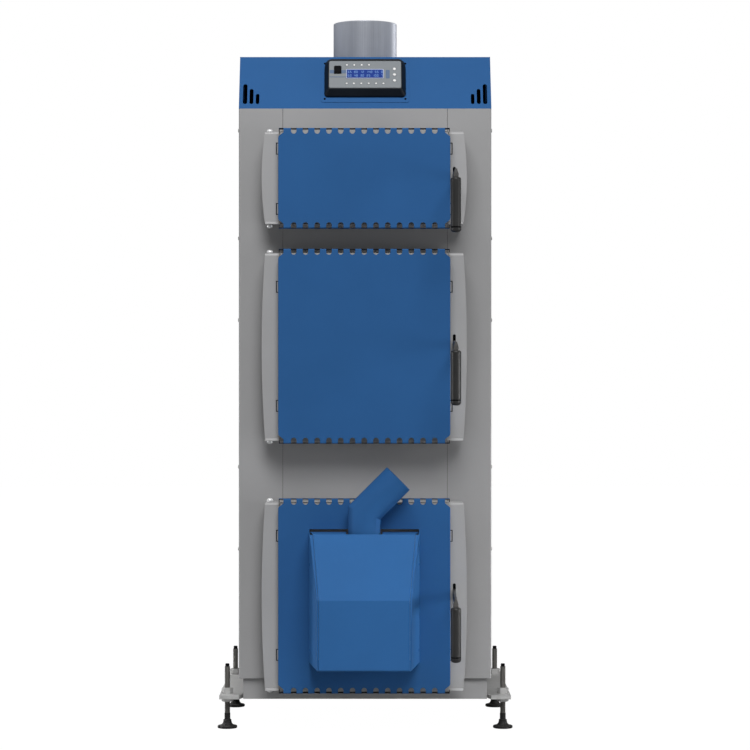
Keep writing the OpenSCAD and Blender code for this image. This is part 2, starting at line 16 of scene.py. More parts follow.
import bmesh
import bpy
from mathutils import Matrix, Vector
from mathutils.geometry import delaunay_2d_cdt
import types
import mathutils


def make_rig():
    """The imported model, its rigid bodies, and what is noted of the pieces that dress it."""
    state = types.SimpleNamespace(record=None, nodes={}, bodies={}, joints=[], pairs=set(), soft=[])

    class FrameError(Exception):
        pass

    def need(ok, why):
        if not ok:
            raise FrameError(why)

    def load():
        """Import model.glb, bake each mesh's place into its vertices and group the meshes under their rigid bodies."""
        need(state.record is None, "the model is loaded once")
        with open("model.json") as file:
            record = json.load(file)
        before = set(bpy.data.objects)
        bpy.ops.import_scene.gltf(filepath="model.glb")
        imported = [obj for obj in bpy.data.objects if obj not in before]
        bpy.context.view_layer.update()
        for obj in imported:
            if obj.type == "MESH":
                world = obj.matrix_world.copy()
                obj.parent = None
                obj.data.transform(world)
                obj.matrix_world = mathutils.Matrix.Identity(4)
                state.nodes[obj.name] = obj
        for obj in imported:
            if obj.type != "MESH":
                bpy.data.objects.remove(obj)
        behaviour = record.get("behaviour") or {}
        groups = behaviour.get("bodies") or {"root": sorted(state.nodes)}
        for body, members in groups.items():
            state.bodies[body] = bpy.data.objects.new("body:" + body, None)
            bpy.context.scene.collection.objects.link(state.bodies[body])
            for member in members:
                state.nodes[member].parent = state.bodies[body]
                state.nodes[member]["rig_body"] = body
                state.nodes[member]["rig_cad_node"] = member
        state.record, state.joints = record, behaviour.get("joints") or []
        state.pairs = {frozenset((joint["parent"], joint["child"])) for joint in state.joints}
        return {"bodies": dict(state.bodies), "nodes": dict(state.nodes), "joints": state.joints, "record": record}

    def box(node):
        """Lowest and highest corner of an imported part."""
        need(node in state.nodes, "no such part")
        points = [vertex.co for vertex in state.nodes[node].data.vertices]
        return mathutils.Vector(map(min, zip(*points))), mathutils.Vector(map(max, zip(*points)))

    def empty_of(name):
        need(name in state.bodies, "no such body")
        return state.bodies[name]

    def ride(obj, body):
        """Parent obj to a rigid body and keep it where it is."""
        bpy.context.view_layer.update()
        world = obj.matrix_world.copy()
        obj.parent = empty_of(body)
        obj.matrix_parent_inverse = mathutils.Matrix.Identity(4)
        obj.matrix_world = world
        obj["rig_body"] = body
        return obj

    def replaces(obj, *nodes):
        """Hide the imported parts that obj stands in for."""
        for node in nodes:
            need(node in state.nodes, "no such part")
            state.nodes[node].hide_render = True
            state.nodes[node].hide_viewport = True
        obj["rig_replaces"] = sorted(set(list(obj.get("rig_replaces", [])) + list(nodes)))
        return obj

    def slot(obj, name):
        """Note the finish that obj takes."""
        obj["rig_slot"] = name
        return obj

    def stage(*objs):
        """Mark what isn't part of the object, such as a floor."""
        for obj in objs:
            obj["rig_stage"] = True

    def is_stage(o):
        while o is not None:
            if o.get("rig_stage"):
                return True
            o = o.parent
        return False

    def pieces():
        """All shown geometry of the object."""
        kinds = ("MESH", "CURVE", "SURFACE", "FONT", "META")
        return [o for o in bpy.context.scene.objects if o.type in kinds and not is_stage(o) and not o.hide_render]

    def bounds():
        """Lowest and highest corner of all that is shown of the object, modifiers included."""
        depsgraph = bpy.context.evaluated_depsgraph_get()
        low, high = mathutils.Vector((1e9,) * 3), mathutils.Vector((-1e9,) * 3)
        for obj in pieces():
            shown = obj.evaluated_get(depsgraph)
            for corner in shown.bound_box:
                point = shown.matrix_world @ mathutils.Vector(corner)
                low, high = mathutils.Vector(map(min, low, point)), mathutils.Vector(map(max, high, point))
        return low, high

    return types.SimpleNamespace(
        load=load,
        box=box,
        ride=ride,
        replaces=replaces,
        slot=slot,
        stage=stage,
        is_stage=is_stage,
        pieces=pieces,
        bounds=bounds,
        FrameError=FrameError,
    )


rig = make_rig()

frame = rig.load()
cad_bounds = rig.bounds()

log = logging.getLogger("pellet_boiler")

MM = 0.001
TAU = 2 * math.pi
SHARP_ANGLE = math.radians(32)
BEVEL_ANGLE = math.radians(25)
NOISE_RANGE = (0.3, 0.7)
SIZE_FILE = "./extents.json"
DUST_COLOUR = (0.50, 0.48, 0.45)
SMOKE_COLOUR = (0.03, 0.028, 0.026)
STAIN_COLOUR = (0.16, 0.15, 0.14)
BARE_STEEL = (0.32, 0.33, 0.34)
WHITE = (1.0, 1.0, 1.0, 1.0)
OUT_BACK = Vector((0, 1, 0))

Point = tuple[float, float]
Colour = tuple[float, float, float]


class Level(Enum):
    """The three doors, by where they sit on the front."""

    UPPER = "upper"
    MIDDLE = "middle"
    LOWER = "lower"

    @property
    def door(self) -> str:
        """Name of the body that carries the door."""
        return f"{self.value}_door"

    @property
    def lever(self) -> str:
        """Name of the body that carries the door's lever."""
        return f"{self.value}_lever"


class Side(Enum):
    """Left and right of the boiler, as seen by a person who faces the doors."""

    LEFT = -1
    RIGHT = 1

    @property
    def word(self) -> str:
        """The side's name as it stands in node names."""
        return self.name.lower()


class Slot(Enum):
    """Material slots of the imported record."""

    BLUE_PAINT = "blue_paint"
    GREY_CASING = "grey_casing"
    GREY_TRAY = "grey_tray"
    ZINC_STEEL = "zinc_steel"
    GALVANISED = "galvanised"
    DARK_STEEL = "dark_steel"
    BOILER_STEEL = "boiler_steel"
    FRAME_STEEL = "frame_steel"
    INSULATION = "insulation"
    BLACK_PLASTIC = "black_plastic"
    GREY_PLASTIC = "grey_plastic"


# ------------------------------------------------------------------ shading


class Wiring:
    """Adds nodes to one shader tree and joins their sockets."""

    def __init__(self, tree: bpy.types.NodeTree) -> None:
        """Takes the node tree of a material, a world or a group."""
        self.tree = tree

    def join(self, node: bpy.types.Node, inputs: dict) -> bpy.types.Node:
        """Sets a node's inputs.

        Args:
            node: The node.
            inputs: Socket name or index to a value, or to an output socket to join.

        Returns:
            The same node.
        """
        for key, value in inputs.items():
            if isinstance(value, bpy.types.NodeSocket):
                self.tree.links.new(value, node.inputs[key])
            else:
                node.inputs[key].default_value = value
        return node

    def add(self, kind: str, inputs: dict | None = None, **settings: object) -> bpy.types.Node:
        """Adds one node.

        Args:
            kind: The node's type name without the leading ShaderNode.
            inputs: Its inputs, as join takes them.
            settings: Attributes to set on the node.

        Returns:
            The new node.
        """
        node = self.tree.nodes.new(f"ShaderNode{kind}")
        for name, value in settings.items():
            setattr(node, name, value)
        return self.join(node, inputs or {})

    def math(self, operation: str, first: object, second: object) -> bpy.types.NodeSocket:
        """The result of a Math node on two numbers or sockets."""
        return self.add("Math", {0: first, 1: second}, operation=operation).outputs[0]

    def spread(
        self, value: object, low: float, high: float, to_low: float = 0.0, to_high: float = 1.0
    ) -> bpy.types.NodeSocket:
        """Maps the range from low to high onto the one from to_low to to_high, clamped."""
        return self.add("MapRange", {0: value, 1: low, 2: high, 3: to_low, 4: to_high}).outputs[0]

    def blend(self, share: object, first: object, second: object) -> bpy.types.NodeSocket:
        """Mixes two colours.

        Args:
            share: How much of the second colour shows, as a number or socket.
            first: The first colour, as a tuple or socket.
            second: The second colour, as a tuple or socket.

        Returns:
            The mixed colour's socket.
        """
        values = [(*v, 1.0) if isinstance(v, tuple) else v for v in (share, first, second)]
        return self.add("Mix", dict(zip((0, 6, 7), values)), data_type="RGBA").outputs[2]

    def noise(
        self, scale: object, detail: float, roughness: float = 0.5, place: object = None
    ) -> bpy.types.NodeSocket:
        """Adds noise.

        Args:
            scale: Its scale, a number or a socket.
            detail: Its detail.
            roughness: Its roughness.
            place: Where it is read, or the object's own coordinates when left out.

        Returns:
            The noise's socket.
        """
        place = place or self.add("TexCoord").outputs["Object"]
        inputs = {"Vector": place, "Scale": scale, "Detail": detail, "Roughness": roughness}
        return self.add("TexNoise", inputs).outputs[0]

    def relief(self, height: object, strength: float, depth: float, radius: float) -> bpy.types.NodeSocket:
        """Adds the normal of a surface with rounded edges and a fine relief.

        Args:
            height: The relief, a socket.
            strength: How much of it shows.
            depth: Its depth.
            radius: Radius of the rounded edges.

        Returns:
            The normal's socket.
        """
        rounded = self.add("Bevel", {"Radius": radius}, samples=4).outputs[0]
        inputs = {"Strength": strength, "Distance": depth, "Height": height, "Normal": rounded}
        return self.add("Bump", inputs).outputs[0]

    def seen(self) -> bpy.types.NodeSocket:
        """One where the camera sees a place straight or through glass, nought elsewhere."""
        rays = self.add("LightPath").outputs
        return self.math("MAXIMUM", rays["Is Camera Ray"], rays["Is Transmission Ray"])


@dataclass
class Effects:
    """Shader node groups that several finishes share, each built once."""

    groups: dict[str, bpy.types.NodeTree] = field(default_factory=dict)

    def __post_init__(self) -> None:
        """Makes every group."""
        self._grain()
        self._edge_wear()
        self._dust()
        self._brushing()
        self._crystals()
        self._soot()

    def _open(
        self, name: str, inputs: dict[str, float], outputs: Sequence[str]
    ) -> tuple[Wiring, dict, bpy.types.Node]:
        """Starts a group with named sockets.

        Args:
            name: The group's name.
            inputs: Input names with their default numbers.
            outputs: Output names.

        Returns:
            The wiring, the input sockets by name and the output node.
        """
        tree = bpy.data.node_groups.new(name, "ShaderNodeTree")
        for label, value in inputs.items():
            socket = tree.interface.new_socket(label, in_out="INPUT", socket_type="NodeSocketFloat")
            socket.default_value = value
        for label in outputs:
            tree.interface.new_socket(label, in_out="OUTPUT", socket_type="NodeSocketFloat")
        entry = tree.nodes.new("NodeGroupInput")
        leave = tree.nodes.new("NodeGroupOutput")
        self.groups[name] = tree
        return Wiring(tree), {s.name: s for s in entry.outputs if s.name}, leave

    def place(self, w: Wiring, name: str, **values: float) -> bpy.types.bpy_prop_collection:
        """Puts a group into a material.

        Args:
            w: The material's wiring.
            name: The group's name.
            values: Its inputs' values, each named in lower case with underscores.

        Returns:
            The group node's outputs.
        """
        node = w.tree.nodes.new("ShaderNodeGroup")
        node.node_tree = self.groups[name]
        return w.join(node, {key.replace("_", " ").title(): value for key, value in values.items()}).outputs

    def _grain(self) -> None:
        """Fine ripple of a sprayed or moulded skin, and slow clouds of tone."""
        inputs = {"Grain Scale": 900.0, "Cloud Scale": 5.0}
        w, given, leave = self._open("skin_grain", inputs, ("Height", "Tone"))
        height, tone = w.noise(given["Grain Scale"], 3.0), w.noise(given["Cloud Scale"], 5.0, 0.6)
        w.join(leave, {"Height": height, "Tone": tone})

    def _edge_wear(self) -> None:
        """Mask that is high along outer edges and broken up by noise."""
        w, given, leave = self._open("edge_wear", {"Radius": 0.001, "Breakup Scale": 60.0}, ("Edge",))
        rounded = w.add("Bevel", {"Radius": given["Radius"]}, samples=4).outputs[0]
        flat = w.add("NewGeometry").outputs["Normal"]
        agree = w.add("VectorMath", {0: rounded, 1: flat}, operation="DOT_PRODUCT").outputs["Value"]
        patches = w.spread(w.noise(given["Breakup Scale"], 4.0), 0.42, 0.62)
        w.join(leave, {"Edge": w.math("MULTIPLY", w.spread(agree, 0.995, 0.93), patches)})

    def _dust(self) -> None:
        """Mask of what settles on faces that look up."""
        w, given, leave = self._open("settled_dust", {"Patch Scale": 18.0}, ("Dust",))
        up = w.add("SeparateXYZ", {0: w.add("NewGeometry").outputs["Normal"]}).outputs["Z"]
        thin = w.spread(w.noise(given["Patch Scale"], 6.0), 0.3, 0.75, 0.25)
        w.join(leave, {"Dust": w.math("MULTIPLY", w.spread(up, 0.35, 1.0), thin)})

    def _brushing(self) -> None:
        """Long fine scratches that run along X, Y or Z, by how much each is stretched."""
        inputs = {"Across X": 40.0, "Across Y": 40.0, "Across Z": 900.0}
        w, given, leave = self._open("draw_lines", inputs, ("Height", "Tone"))
        place = w.add("TexCoord").outputs["Object"]
        stretch = w.add("CombineXYZ", dict(enumerate(given.values()))).outputs[0]
        pulled = w.add("VectorMath", {0: place, 1: stretch}, operation="MULTIPLY").outputs[0]
        lines = w.noise(1.0, 4.0, 0.7, pulled)
        w.join(leave, {"Height": lines, "Tone": w.spread(lines, *NOISE_RANGE)})

    def _crystals(self) -> None:
        """Flat-toned cells of a hot-dip zinc coat."""
        w, given, leave = self._open("zinc_crystals", {"Cell Scale": 60.0}, ("Tone", "Height"))
        place = w.add("TexCoord").outputs["Object"]
        cells = w.add("TexVoronoi", {"Vector": place, "Scale": given["Cell Scale"]}, feature="F1").outputs
        tone = w.add("SeparateColor", {0: cells["Color"]}).outputs[0]
        w.join(leave, {"Tone": tone, "Height": cells["Distance"]})

    def _soot(self) -> None:
        """Soft dark patches left by smoke and heat."""
        w, given, leave = self._open("smoke_stain", {"Patch Scale": 9.0}, ("Soot",))
        w.join(leave, {"Soot": w.spread(w.noise(given["Patch Scale"], 7.0, 0.65), 0.35, 0.7)})


def open_material(name: str) -> tuple[bpy.types.Material, Wiring, bpy.types.Node]:
    """Starts a node material with an empty tree.

    Args:
        name: The material's name.

    Returns:
        The material, its wiring and its Principled BSDF.
    """
    material = bpy.data.materials.new(name)
    material.use_nodes = True
    material.node_tree.nodes.clear()
    w = Wiring(material.node_tree)
    shader = w.add("BsdfPrincipled")
    w.add("OutputMaterial", {"Surface": shader.outputs[0]})
    return material, w, shader


@dataclass(frozen=True)
class Finish:
    """What every finish has: a name, a colour and a way to become a material."""

    name: str
    colour: Colour

    def tint(self, share: float, lift: float = 0.0) -> Colour:
        """The colour times a share, plus a lift, at most white."""
        return tuple(min(1.0, c * share + lift) for c in self.colour)

    def build(self, effects: Effects) -> bpy.types.Material:
        """Makes the material.

        Args:
            effects: The shared shader groups.

        Returns:
            The finished material.
        """
        material, w, shader = open_material(self.name)
        w.join(shader, self.surface(w, effects))
        return material

    def surface(self, w: Wiring, effects: Effects) -> dict:
        """Wires the surface.

        Args:
            w: The material's wiring.
            effects: The shared shader groups.

        Returns:
            Inputs of the material's shader, by name.
        """
        raise NotImplementedError


@dataclass(frozen=True)
class PaintFinish(Finish):
    """Baked powder coat on sheet metal: fine orange peel, worn edges and a little dust."""

    roughness: float = 0.42
    vary: tuple[float, float] = (0.05, 0.06)
    cloud: float = 0.06
    wear: float = 0.35
    dust: float = 0.10
    matting: float = 0.18
    gloss: float = 0.5
    grain: float = 620.0
    peel: float = 0.10
    peel_depth: float = 0.6 * MM
    edge_radius: float = 0.9 * MM
    patches: tuple[float, float, float] = (4.0, 45.0, 14.0)

    def tones(self) -> tuple[Colour, Colour, Colour]:
        """The darkest, the lightest and the worn colour."""
        return self.tint(1 - self.cloud), self.tint(1 + self.cloud), BARE_STEEL

    def surface(self, w: Wiring, effects: Effects) -> dict:
        """Wires the surface; see Finish.surface.

        Args:
            w: The material's wiring.
            effects: The shared shader groups.

        Returns:
            Inputs of the material's shader, by name.
        """
        clouds, scuffs, specks = self.patches
        grain = effects.place(w, "skin_grain", grain_scale=self.grain, cloud_scale=clouds)
        wear = effects.place(w, "edge_wear", radius=self.edge_radius, breakup_scale=scuffs)["Edge"]
        dust = effects.place(w, "settled_dust", patch_scale=specks)["Dust"]
        dark, light, bare = self.tones()
        base = w.blend(w.spread(grain["Tone"], *NOISE_RANGE), dark, light)
        worn = w.blend(w.math("MULTIPLY", wear, self.wear), base, bare)
        less, more = self.vary
        rough = w.spread(grain["Tone"], *NOISE_RANGE, self.roughness - less, self.roughness + more)
        return {
            "Base Color": w.blend(w.math("MULTIPLY", dust, self.dust), worn, DUST_COLOUR),
            "Roughness": w.math("ADD", rough, w.math("MULTIPLY", dust, self.matting)),
            "Normal": w.relief(grain["Height"], self.peel, self.peel_depth, self.edge_radius),
            "Specular IOR Level": self.gloss,
        }


@dataclass(frozen=True)
class MouldedFinish(PaintFinish):
    """Moulded plastic or rubber with a fine texture, rubbed pale at its edges."""

    roughness: float = 0.45
    vary: tuple[float, float] = (0.06, 0.07)
    wear: float = 0.15
    dust: float = 0.06
    matting: float = 0.0
    grain: float = 1400.0
    peel: float = 0.08
    peel_depth: float = 0.4 * MM
    edge_radius: float = 0.5 * MM
    patches: tuple[float, float, float] = (12.0, 120.0, 30.0)

    def tones(self) -> tuple[Colour, Colour, Colour]:
        """The darkest, the lightest and the rubbed colour."""
        return self.tint(0.9), self.tint(1.08, 0.002), self.tint(1.6, 0.03)


@dataclass(frozen=True)
class MetalFinish(Finish):
    """Bare or plated metal: drawn lines or zinc cells, varied roughness and rounded edges."""

    roughness: float = 0.35
    metallic: float = 0.35
    across: tuple[float, float, float] = (60.0, 60.0, 900.0)
    lines: float = 0.12
    cells: float = 0.0
    spread: float = 0.10
    stain: float = 0.15
    edge_radius: float = 0.6 * MM
    # Share of the painted highlight on faces seen edge-on.
    sheen: float = 0.0

    def surface(self, w: Wiring, effects: Effects) -> dict:
        """Wires the surface; see Finish.surface.

        Args:
            w: The material's wiring.
            effects: The shared shader groups.

        Returns:
            Inputs of the material's shader, by name.
        """
        x, y, z = self.across
        drawn = effects.place(w, "draw_lines", across_x=x, across_y=y, across_z=z)
        zinc = effects.place(w, "zinc_crystals", cell_scale=60.0)["Tone"]
        soot = effects.place(w, "smoke_stain", patch_scale=22.0)["Soot"]
        plain = w.math("MULTIPLY", drawn["Tone"], 1.0 - self.cells)
        tone = w.math("ADD", w.math("MULTIPLY", zinc, self.cells), plain)
        base = w.blend(tone, self.tint(0.86), self.tint(1.12))
        stained = w.blend(w.math("MULTIPLY", soot, self.stain), base, STAIN_COLOUR)
        # Painted highlight: faces seen edge-on are blended towards a far lighter copy of the colour.
        facing = w.add("LayerWeight", {"Blend": 0.5}).outputs["Facing"]
        low, high = self.roughness - self.spread / 2, self.roughness + self.spread
        return {
            "Base Color": w.blend(w.math("MULTIPLY", facing, self.sheen), stained, self.tint(2.6)),
            "Roughness": w.spread(tone, 0.0, 1.0, low, high),
            "Normal": w.relief(drawn["Height"], self.lines, 0.4 * MM, self.edge_radius),
            "Metallic": self.metallic,
        }


@dataclass(frozen=True)
class FibreFinish(Finish):
    """Insulating board or braided rope: a soft, matt, uneven surface with smoke on it."""

    weave: tuple[float, float, float] = (500.0, 500.0, 500.0)
    bump: float = 0.7
    soot: float = 0.35

    def surface(self, w: Wiring, effects: Effects) -> dict:
        """Wires the surface; see Finish.surface.

        Args:
            w: The material's wiring.
            effects: The shared shader groups.

        Returns:
            Inputs of the material's shader, by name.
        """
        x, y, z = self.weave
        strands = effects.place(w, "draw_lines", across_x=x, across_y=y, across_z=z)
        soot = effects.place(w, "smoke_stain", patch_scale=16.0)["Soot"]
        base = w.blend(strands["Tone"], self.tint(0.7), self.tint(1.15))
        bump = w.add("Bump", {"Strength": self.bump, "Distance": 1.2 * MM, "Height": strands["Height"]})
        return {
            "Base Color": w.blend(w.math("MULTIPLY", soot, self.soot), base, SMOKE_COLOUR),
            "Roughness": w.spread(soot, 0.0, 1.0, 0.85, 0.95),
            "Normal": bump.outputs[0],
        }


@dataclass(frozen=True)
class DisplayFinish(Finish):
    """Back-lit display glass: a matt face over a faintly uneven glow."""

    glow: float = 0.25

    def surface(self, w: Wiring, effects: Effects) -> dict:
        """Wires the surface; see Finish.surface.

        Args:
            w: The material's wiring.
            effects: The shared shader groups.

        Returns:
            Inputs of the material's shader, by name.
        """
        tone = effects.place(w, "skin_grain", grain_scale=2500.0, cloud_scale=30.0)["Tone"]
        base = w.blend(w.spread(tone, *NOISE_RANGE), self.tint(0.85), self.colour)
        return {
            "Base Color": base,
            "Emission Color": base,
            "Emission Strength": self.glow,
            "Roughness": w.spread(tone, *NOISE_RANGE, 0.45, 0.55),
            "Specular IOR Level": 0.05,
        }


MATT_BLUE = {"roughness": 0.56, "gloss": 0.06, "wear": 0.12, "dust": 0.0}

FINISHES = {
    "blue": PaintFinish("blue_powder_coat", (0.024, 0.098, 0.262), **MATT_BLUE),
    # A lighter copy of the blue paint for the burner's sheets: painted light on its bright slope and flanks.
    "burner_blue": PaintFinish("burner_powder_coat", (0.029, 0.120, 0.318), **MATT_BLUE),
    # Near-black finish that stands for shade: painted shade on the doors' hidden sides and cut edges, and on tabs,
    # plates and a pocket set where only shade falls.
    "primer": PaintFinish("dark_primer", (0.012, 0.013, 0.016), 0.8, gloss=0.1, wear=0.0, dust=0.0),
    "casing": PaintFinish("grey_powder_coat", (0.300, 0.300, 0.305), 0.46, cloud=0.03, wear=0.2, dust=0.06),
    "tray": PaintFinish("light_grey_coat", (0.345, 0.345, 0.350), 0.44, cloud=0.03, wear=0.25, dust=0.06),
    "frame_paint": PaintFinish("heatproof_paint", (0.10, 0.10, 0.105), 0.62, cloud=0.12, wear=0.5, peel=0.25),
    "boiler_plate": PaintFinish(
        "boiler_plate", (0.075, 0.068, 0.062), 0.75, cloud=0.30, wear=0.3, peel=0.5, grain=260.0
    ),
    "black_oxide": MetalFinish("black_oxide_steel", (0.040, 0.039, 0.038), 0.5, metallic=0.15, stain=0.25),
    "stud": MetalFinish("stud_steel", (0.085, 0.082, 0.074), 0.5, metallic=0.15, stain=0.2),
    "zinc": MetalFinish("zinc_plate", (0.46, 0.46, 0.455), 0.5, cells=0.35, stain=0.08),
    "bright_zinc": MetalFinish("bright_zinc", (0.90, 0.91, 0.93), 0.3, stain=0.03),
    "galvanised": MetalFinish(
        "galvanised_sheet",
        (0.30, 0.315, 0.35),
        0.38,
        across=(500.0, 500.0, 4.0),
        cells=0.12,
        spread=0.05,
        stain=0.03,
        # The flue takes the full painted highlight along the faces seen edge-on.
        sheen=1.0,
    ),
    "bakelite": MouldedFinish("black_grip", (0.020, 0.020, 0.020), 0.40, peel=0.12, gloss=0.4),
    "bezel": MouldedFinish("black_bezel", (0.004, 0.007, 0.012), wear=0.06, gloss=0.18),
    "face_grey": MouldedFinish("controller_grey", (0.152, 0.170, 0.185), 0.5, peel=0.05),
    "button_white": MouldedFinish("button_white", (0.70, 0.70, 0.69), 0.4, peel=0.04),
    "print_blue": MouldedFinish("print_blue_grey", (0.042, 0.090, 0.180), 0.5, peel=0.02),
    "rubber": MouldedFinish("foot_rubber", (0.007, 0.007, 0.007), 0.6, peel=0.3, gloss=0.3),
    "board": FibreFinish("fibre_board", (0.36, 0.34, 0.30)),
    "rope": FibreFinish("seal_rope", (0.40, 0.38, 0.34), weave=(420.0, 700.0, 420.0), bump=1.0, soot=0.5),
    "rocker": MouldedFinish(
        "black_rocker", (0.002, 0.002, 0.003), 0.5, peel=0.1, wear=0.02, dust=0.0, gloss=0.03
    ),
    "bezel_blue": MouldedFinish("display_bezel", (0.33, 0.38, 0.52), 0.5, peel=0.04, gloss=0.2),
    "display": DisplayFinish("display_blue", (0.012, 0.032, 0.17), glow=0.5),
    "digits": DisplayFinish("display_digits", (0.135, 0.24, 0.465), glow=0.57),
}


class Palette(dict):
    """Every finish on the boiler by name, made once and handed to the sub-assemblies."""

    def __init__(self, effects: Effects) -> None:
        """Builds the materials with the shared shader groups."""
        super().__init__((name, finish.build(effects)) for name, finish in FINISHES.items())


# ------------------------------------------------------------------ shapes


@dataclass(frozen=True)
class FoldPath:
    """A line that a sheet follows across its folds, with every inner corner rounded."""

    corners: tuple[Point, ...]
    radius: float
    steps: int = 5

    def stations(self) -> list[float]:
        """Distance of each corner from the start, measured along the sharp line.

        Returns:
            The distances.
        """
        out = [0.0]
        for a, b in zip(self.corners, self.corners[1:]):
            out.append(out[-1] + math.dist(a, b))
        return out

    def _turns(self) -> list[tuple[int, Vector, float, float]]:
        """Works out the folds.

        Returns:
            For each inner corner its number, the way into it, its signed angle and its fold's reach.
        """
        turns = []
        for i, (a, b, c) in enumerate(zip(self.corners, self.corners[1:], self.corners[2:]), 1):
            into, out = (Vector(b) - Vector(a)).normalized(), (Vector(c) - Vector(b)).normalized()
            angle = math.atan2(into.x * out.y - into.y * out.x, into.dot(out))
            turns.append((i, into, angle, self.radius * abs(math.tan(angle / 2))))
        return turns

    def creases(self, start: float = 0.0) -> list[float]:
        """Rows at which the sheet needs vertices to bend.

        Args:
            start: Where the path begins on the blank.

        Returns:
            The rows.
        """
        places = self.stations()
        return [
            places[i] - reach + 2 * reach * k / self.steps + start
            for i, _, _, reach in self._turns()
            for k in range(self.steps + 1)
        ]

    def at(self, s: float) -> Vector:
        """The point at a distance s along the sharp line, moved onto the rounded one.

        Args:
            s: Distance from the start.

        Returns:
            The point, with two coordinates.
        """
        places = self.stations()
        for i, into, angle, reach in self._turns():
            if abs(s - places[i]) < reach:
                share = (s - places[i] + reach) / (2 * reach)
                start = Vector(self.corners[i]) - into * reach
                normal = Vector((-into.y, into.x)) * math.copysign(1.0, angle)
                centre = start + normal * self.radius
                return centre + Matrix.Rotation(angle * share, 2) @ (start - centre)
        i = max(k for k, p in enumerate(places[:-1]) if s >= p or k == 0)
        a, b = Vector(self.corners[i]), Vector(self.corners[i + 1])
        return a + (b - a).normalized() * (s - places[i])


def inside(point: Point, loop: Sequence[Point]) -> bool:
    """Whether a point lies within a closed outline.

    Args:
        point: The point.
        loop: The outline's corners.

    Returns:
        True where it lies within.
    """
    x, y = point
    hit = False
    for (ax, ay), (bx, by) in zip(loop, [*loop[1:], loop[0]]):
        if (ay > y) != (by > y) and x < (bx - ax) * (y - ay) / (by - ay) + ax:
            hit = not hit
    return hit


def mirrored(right: Sequence[Point]) -> list[Point]:
    """A closed outline from its right half, whose corners run upwards."""
    return [*right, *((-x, y) for x, y in reversed(right))]


def arc(centre: Point, radius: float, start: float, end: float, steps: int) -> list[Point]:
    """Points on a circle's arc, both ends included.

    Args:
        centre: The circle's centre.
        radius: Its radius.
        start: First angle in degrees.
        end: Last angle in degrees.
        steps: Number of stretches.

    Returns:
        The points.
    """
    turns = [math.radians(start + (end - start) * k / steps) for k in range(steps + 1)]
    return [(centre[0] + radius * math.cos(t), centre[1] + radius * math.sin(t)) for t in turns]


def circle(radius: float, z: float, count: int) -> list[Vector]:
    """Points round the Z axis at one height."""
    turns = [TAU * k / count for k in range(count)]
    return [Vector((radius * math.cos(t), radius * math.sin(t), z)) for t in turns]


def obround(centre: Point, width: float, height: float) -> list[Point]:
    """An upright slot with round ends.

    Args:
        centre: Its middle.
        width: Its whole width.
        height: Its whole height.

    Returns:
        The outline's points.
    """
    x, y = centre
    r = width / 2
    rise = height / 2 - r
    return arc((x, y + rise), r, 0, 180, 8) + arc((x, y - rise), r, 180, 360, 8)


def rectangle(low: Point, high: Point) -> list[Point]:
    """The four corners between two opposite ones, counter-clockwise."""
    return [low, (high[0], low[1]), high, (low[0], high[1])]


def rounded_rectangle(low: Point, high: Point, radius: float, steps: int = 6) -> list[Point]:
    """A rectangle with round corners, counter-clockwise.

    Args:
        low: Lowest corner.
        high: Highest corner.
        radius: Corner radius.
        steps: Stretches in each corner.

    Returns:
        The outline's corners.
    """
    (x0, y0), (x1, y1), r = low, high, radius
    middles = ((x1 - r, y0 + r), (x1 - r, y1 - r), (x0 + r, y1 - r), (x0 + r, y0 + r))
    return [p for k, middle in enumerate(middles) for p in arc(middle, r, 90 * k - 90, 90 * k, steps)]


@dataclass
class Blank:
    """A flat sheet with its outline, its cut-outs and the rows where it will be folded."""

    outline: list[Point]
    holes: list[list[Point]] = field(default_factory=list)
    rows_u: Iterable[float] = ()
    rows_v: Iterable[float] = ()

    def triangles(self) -> tuple[list[Point], list[tuple[int, ...]]]:
        """Cuts the sheet into triangles that follow every edge and crease.

        Returns:
            The points and the triangles as rows of point numbers.
        """
        points: list[Vector] = []
        edges: list[tuple[int, int]] = []
        for loop in (self.outline, *self.holes):
            first = len(points)
            points += [Vector(p) for p in loop]
            edges += [(first + k, first + (k + 1) % len(loop)) for k in range(len(loop))]
        us, vs = zip(*self.outline)
        pad = 0.01
        rows = [((u, min(vs) - pad), (u, max(vs) + pad)) for u in self.rows_u]
        rows += [((min(us) - pad, v), (max(us) + pad, v)) for v in self.rows_v]
        for row in rows:
            edges.append((len(points), len(points) + 1))
            points += [Vector(p) for p in row]
        made, _, faces, *_ = delaunay_2d_cdt(points, edges, [], 0, 1e-7)
        kept = []
        for face in faces:
            spot = tuple(sum((made[k] for k in face), Vector((0, 0))) / len(face))
            if inside(spot, self.outline) and not any(inside(spot, hole) for hole in self.holes):
                kept.append(tuple(face))
        return [(p.x, p.y) for p in made], kept


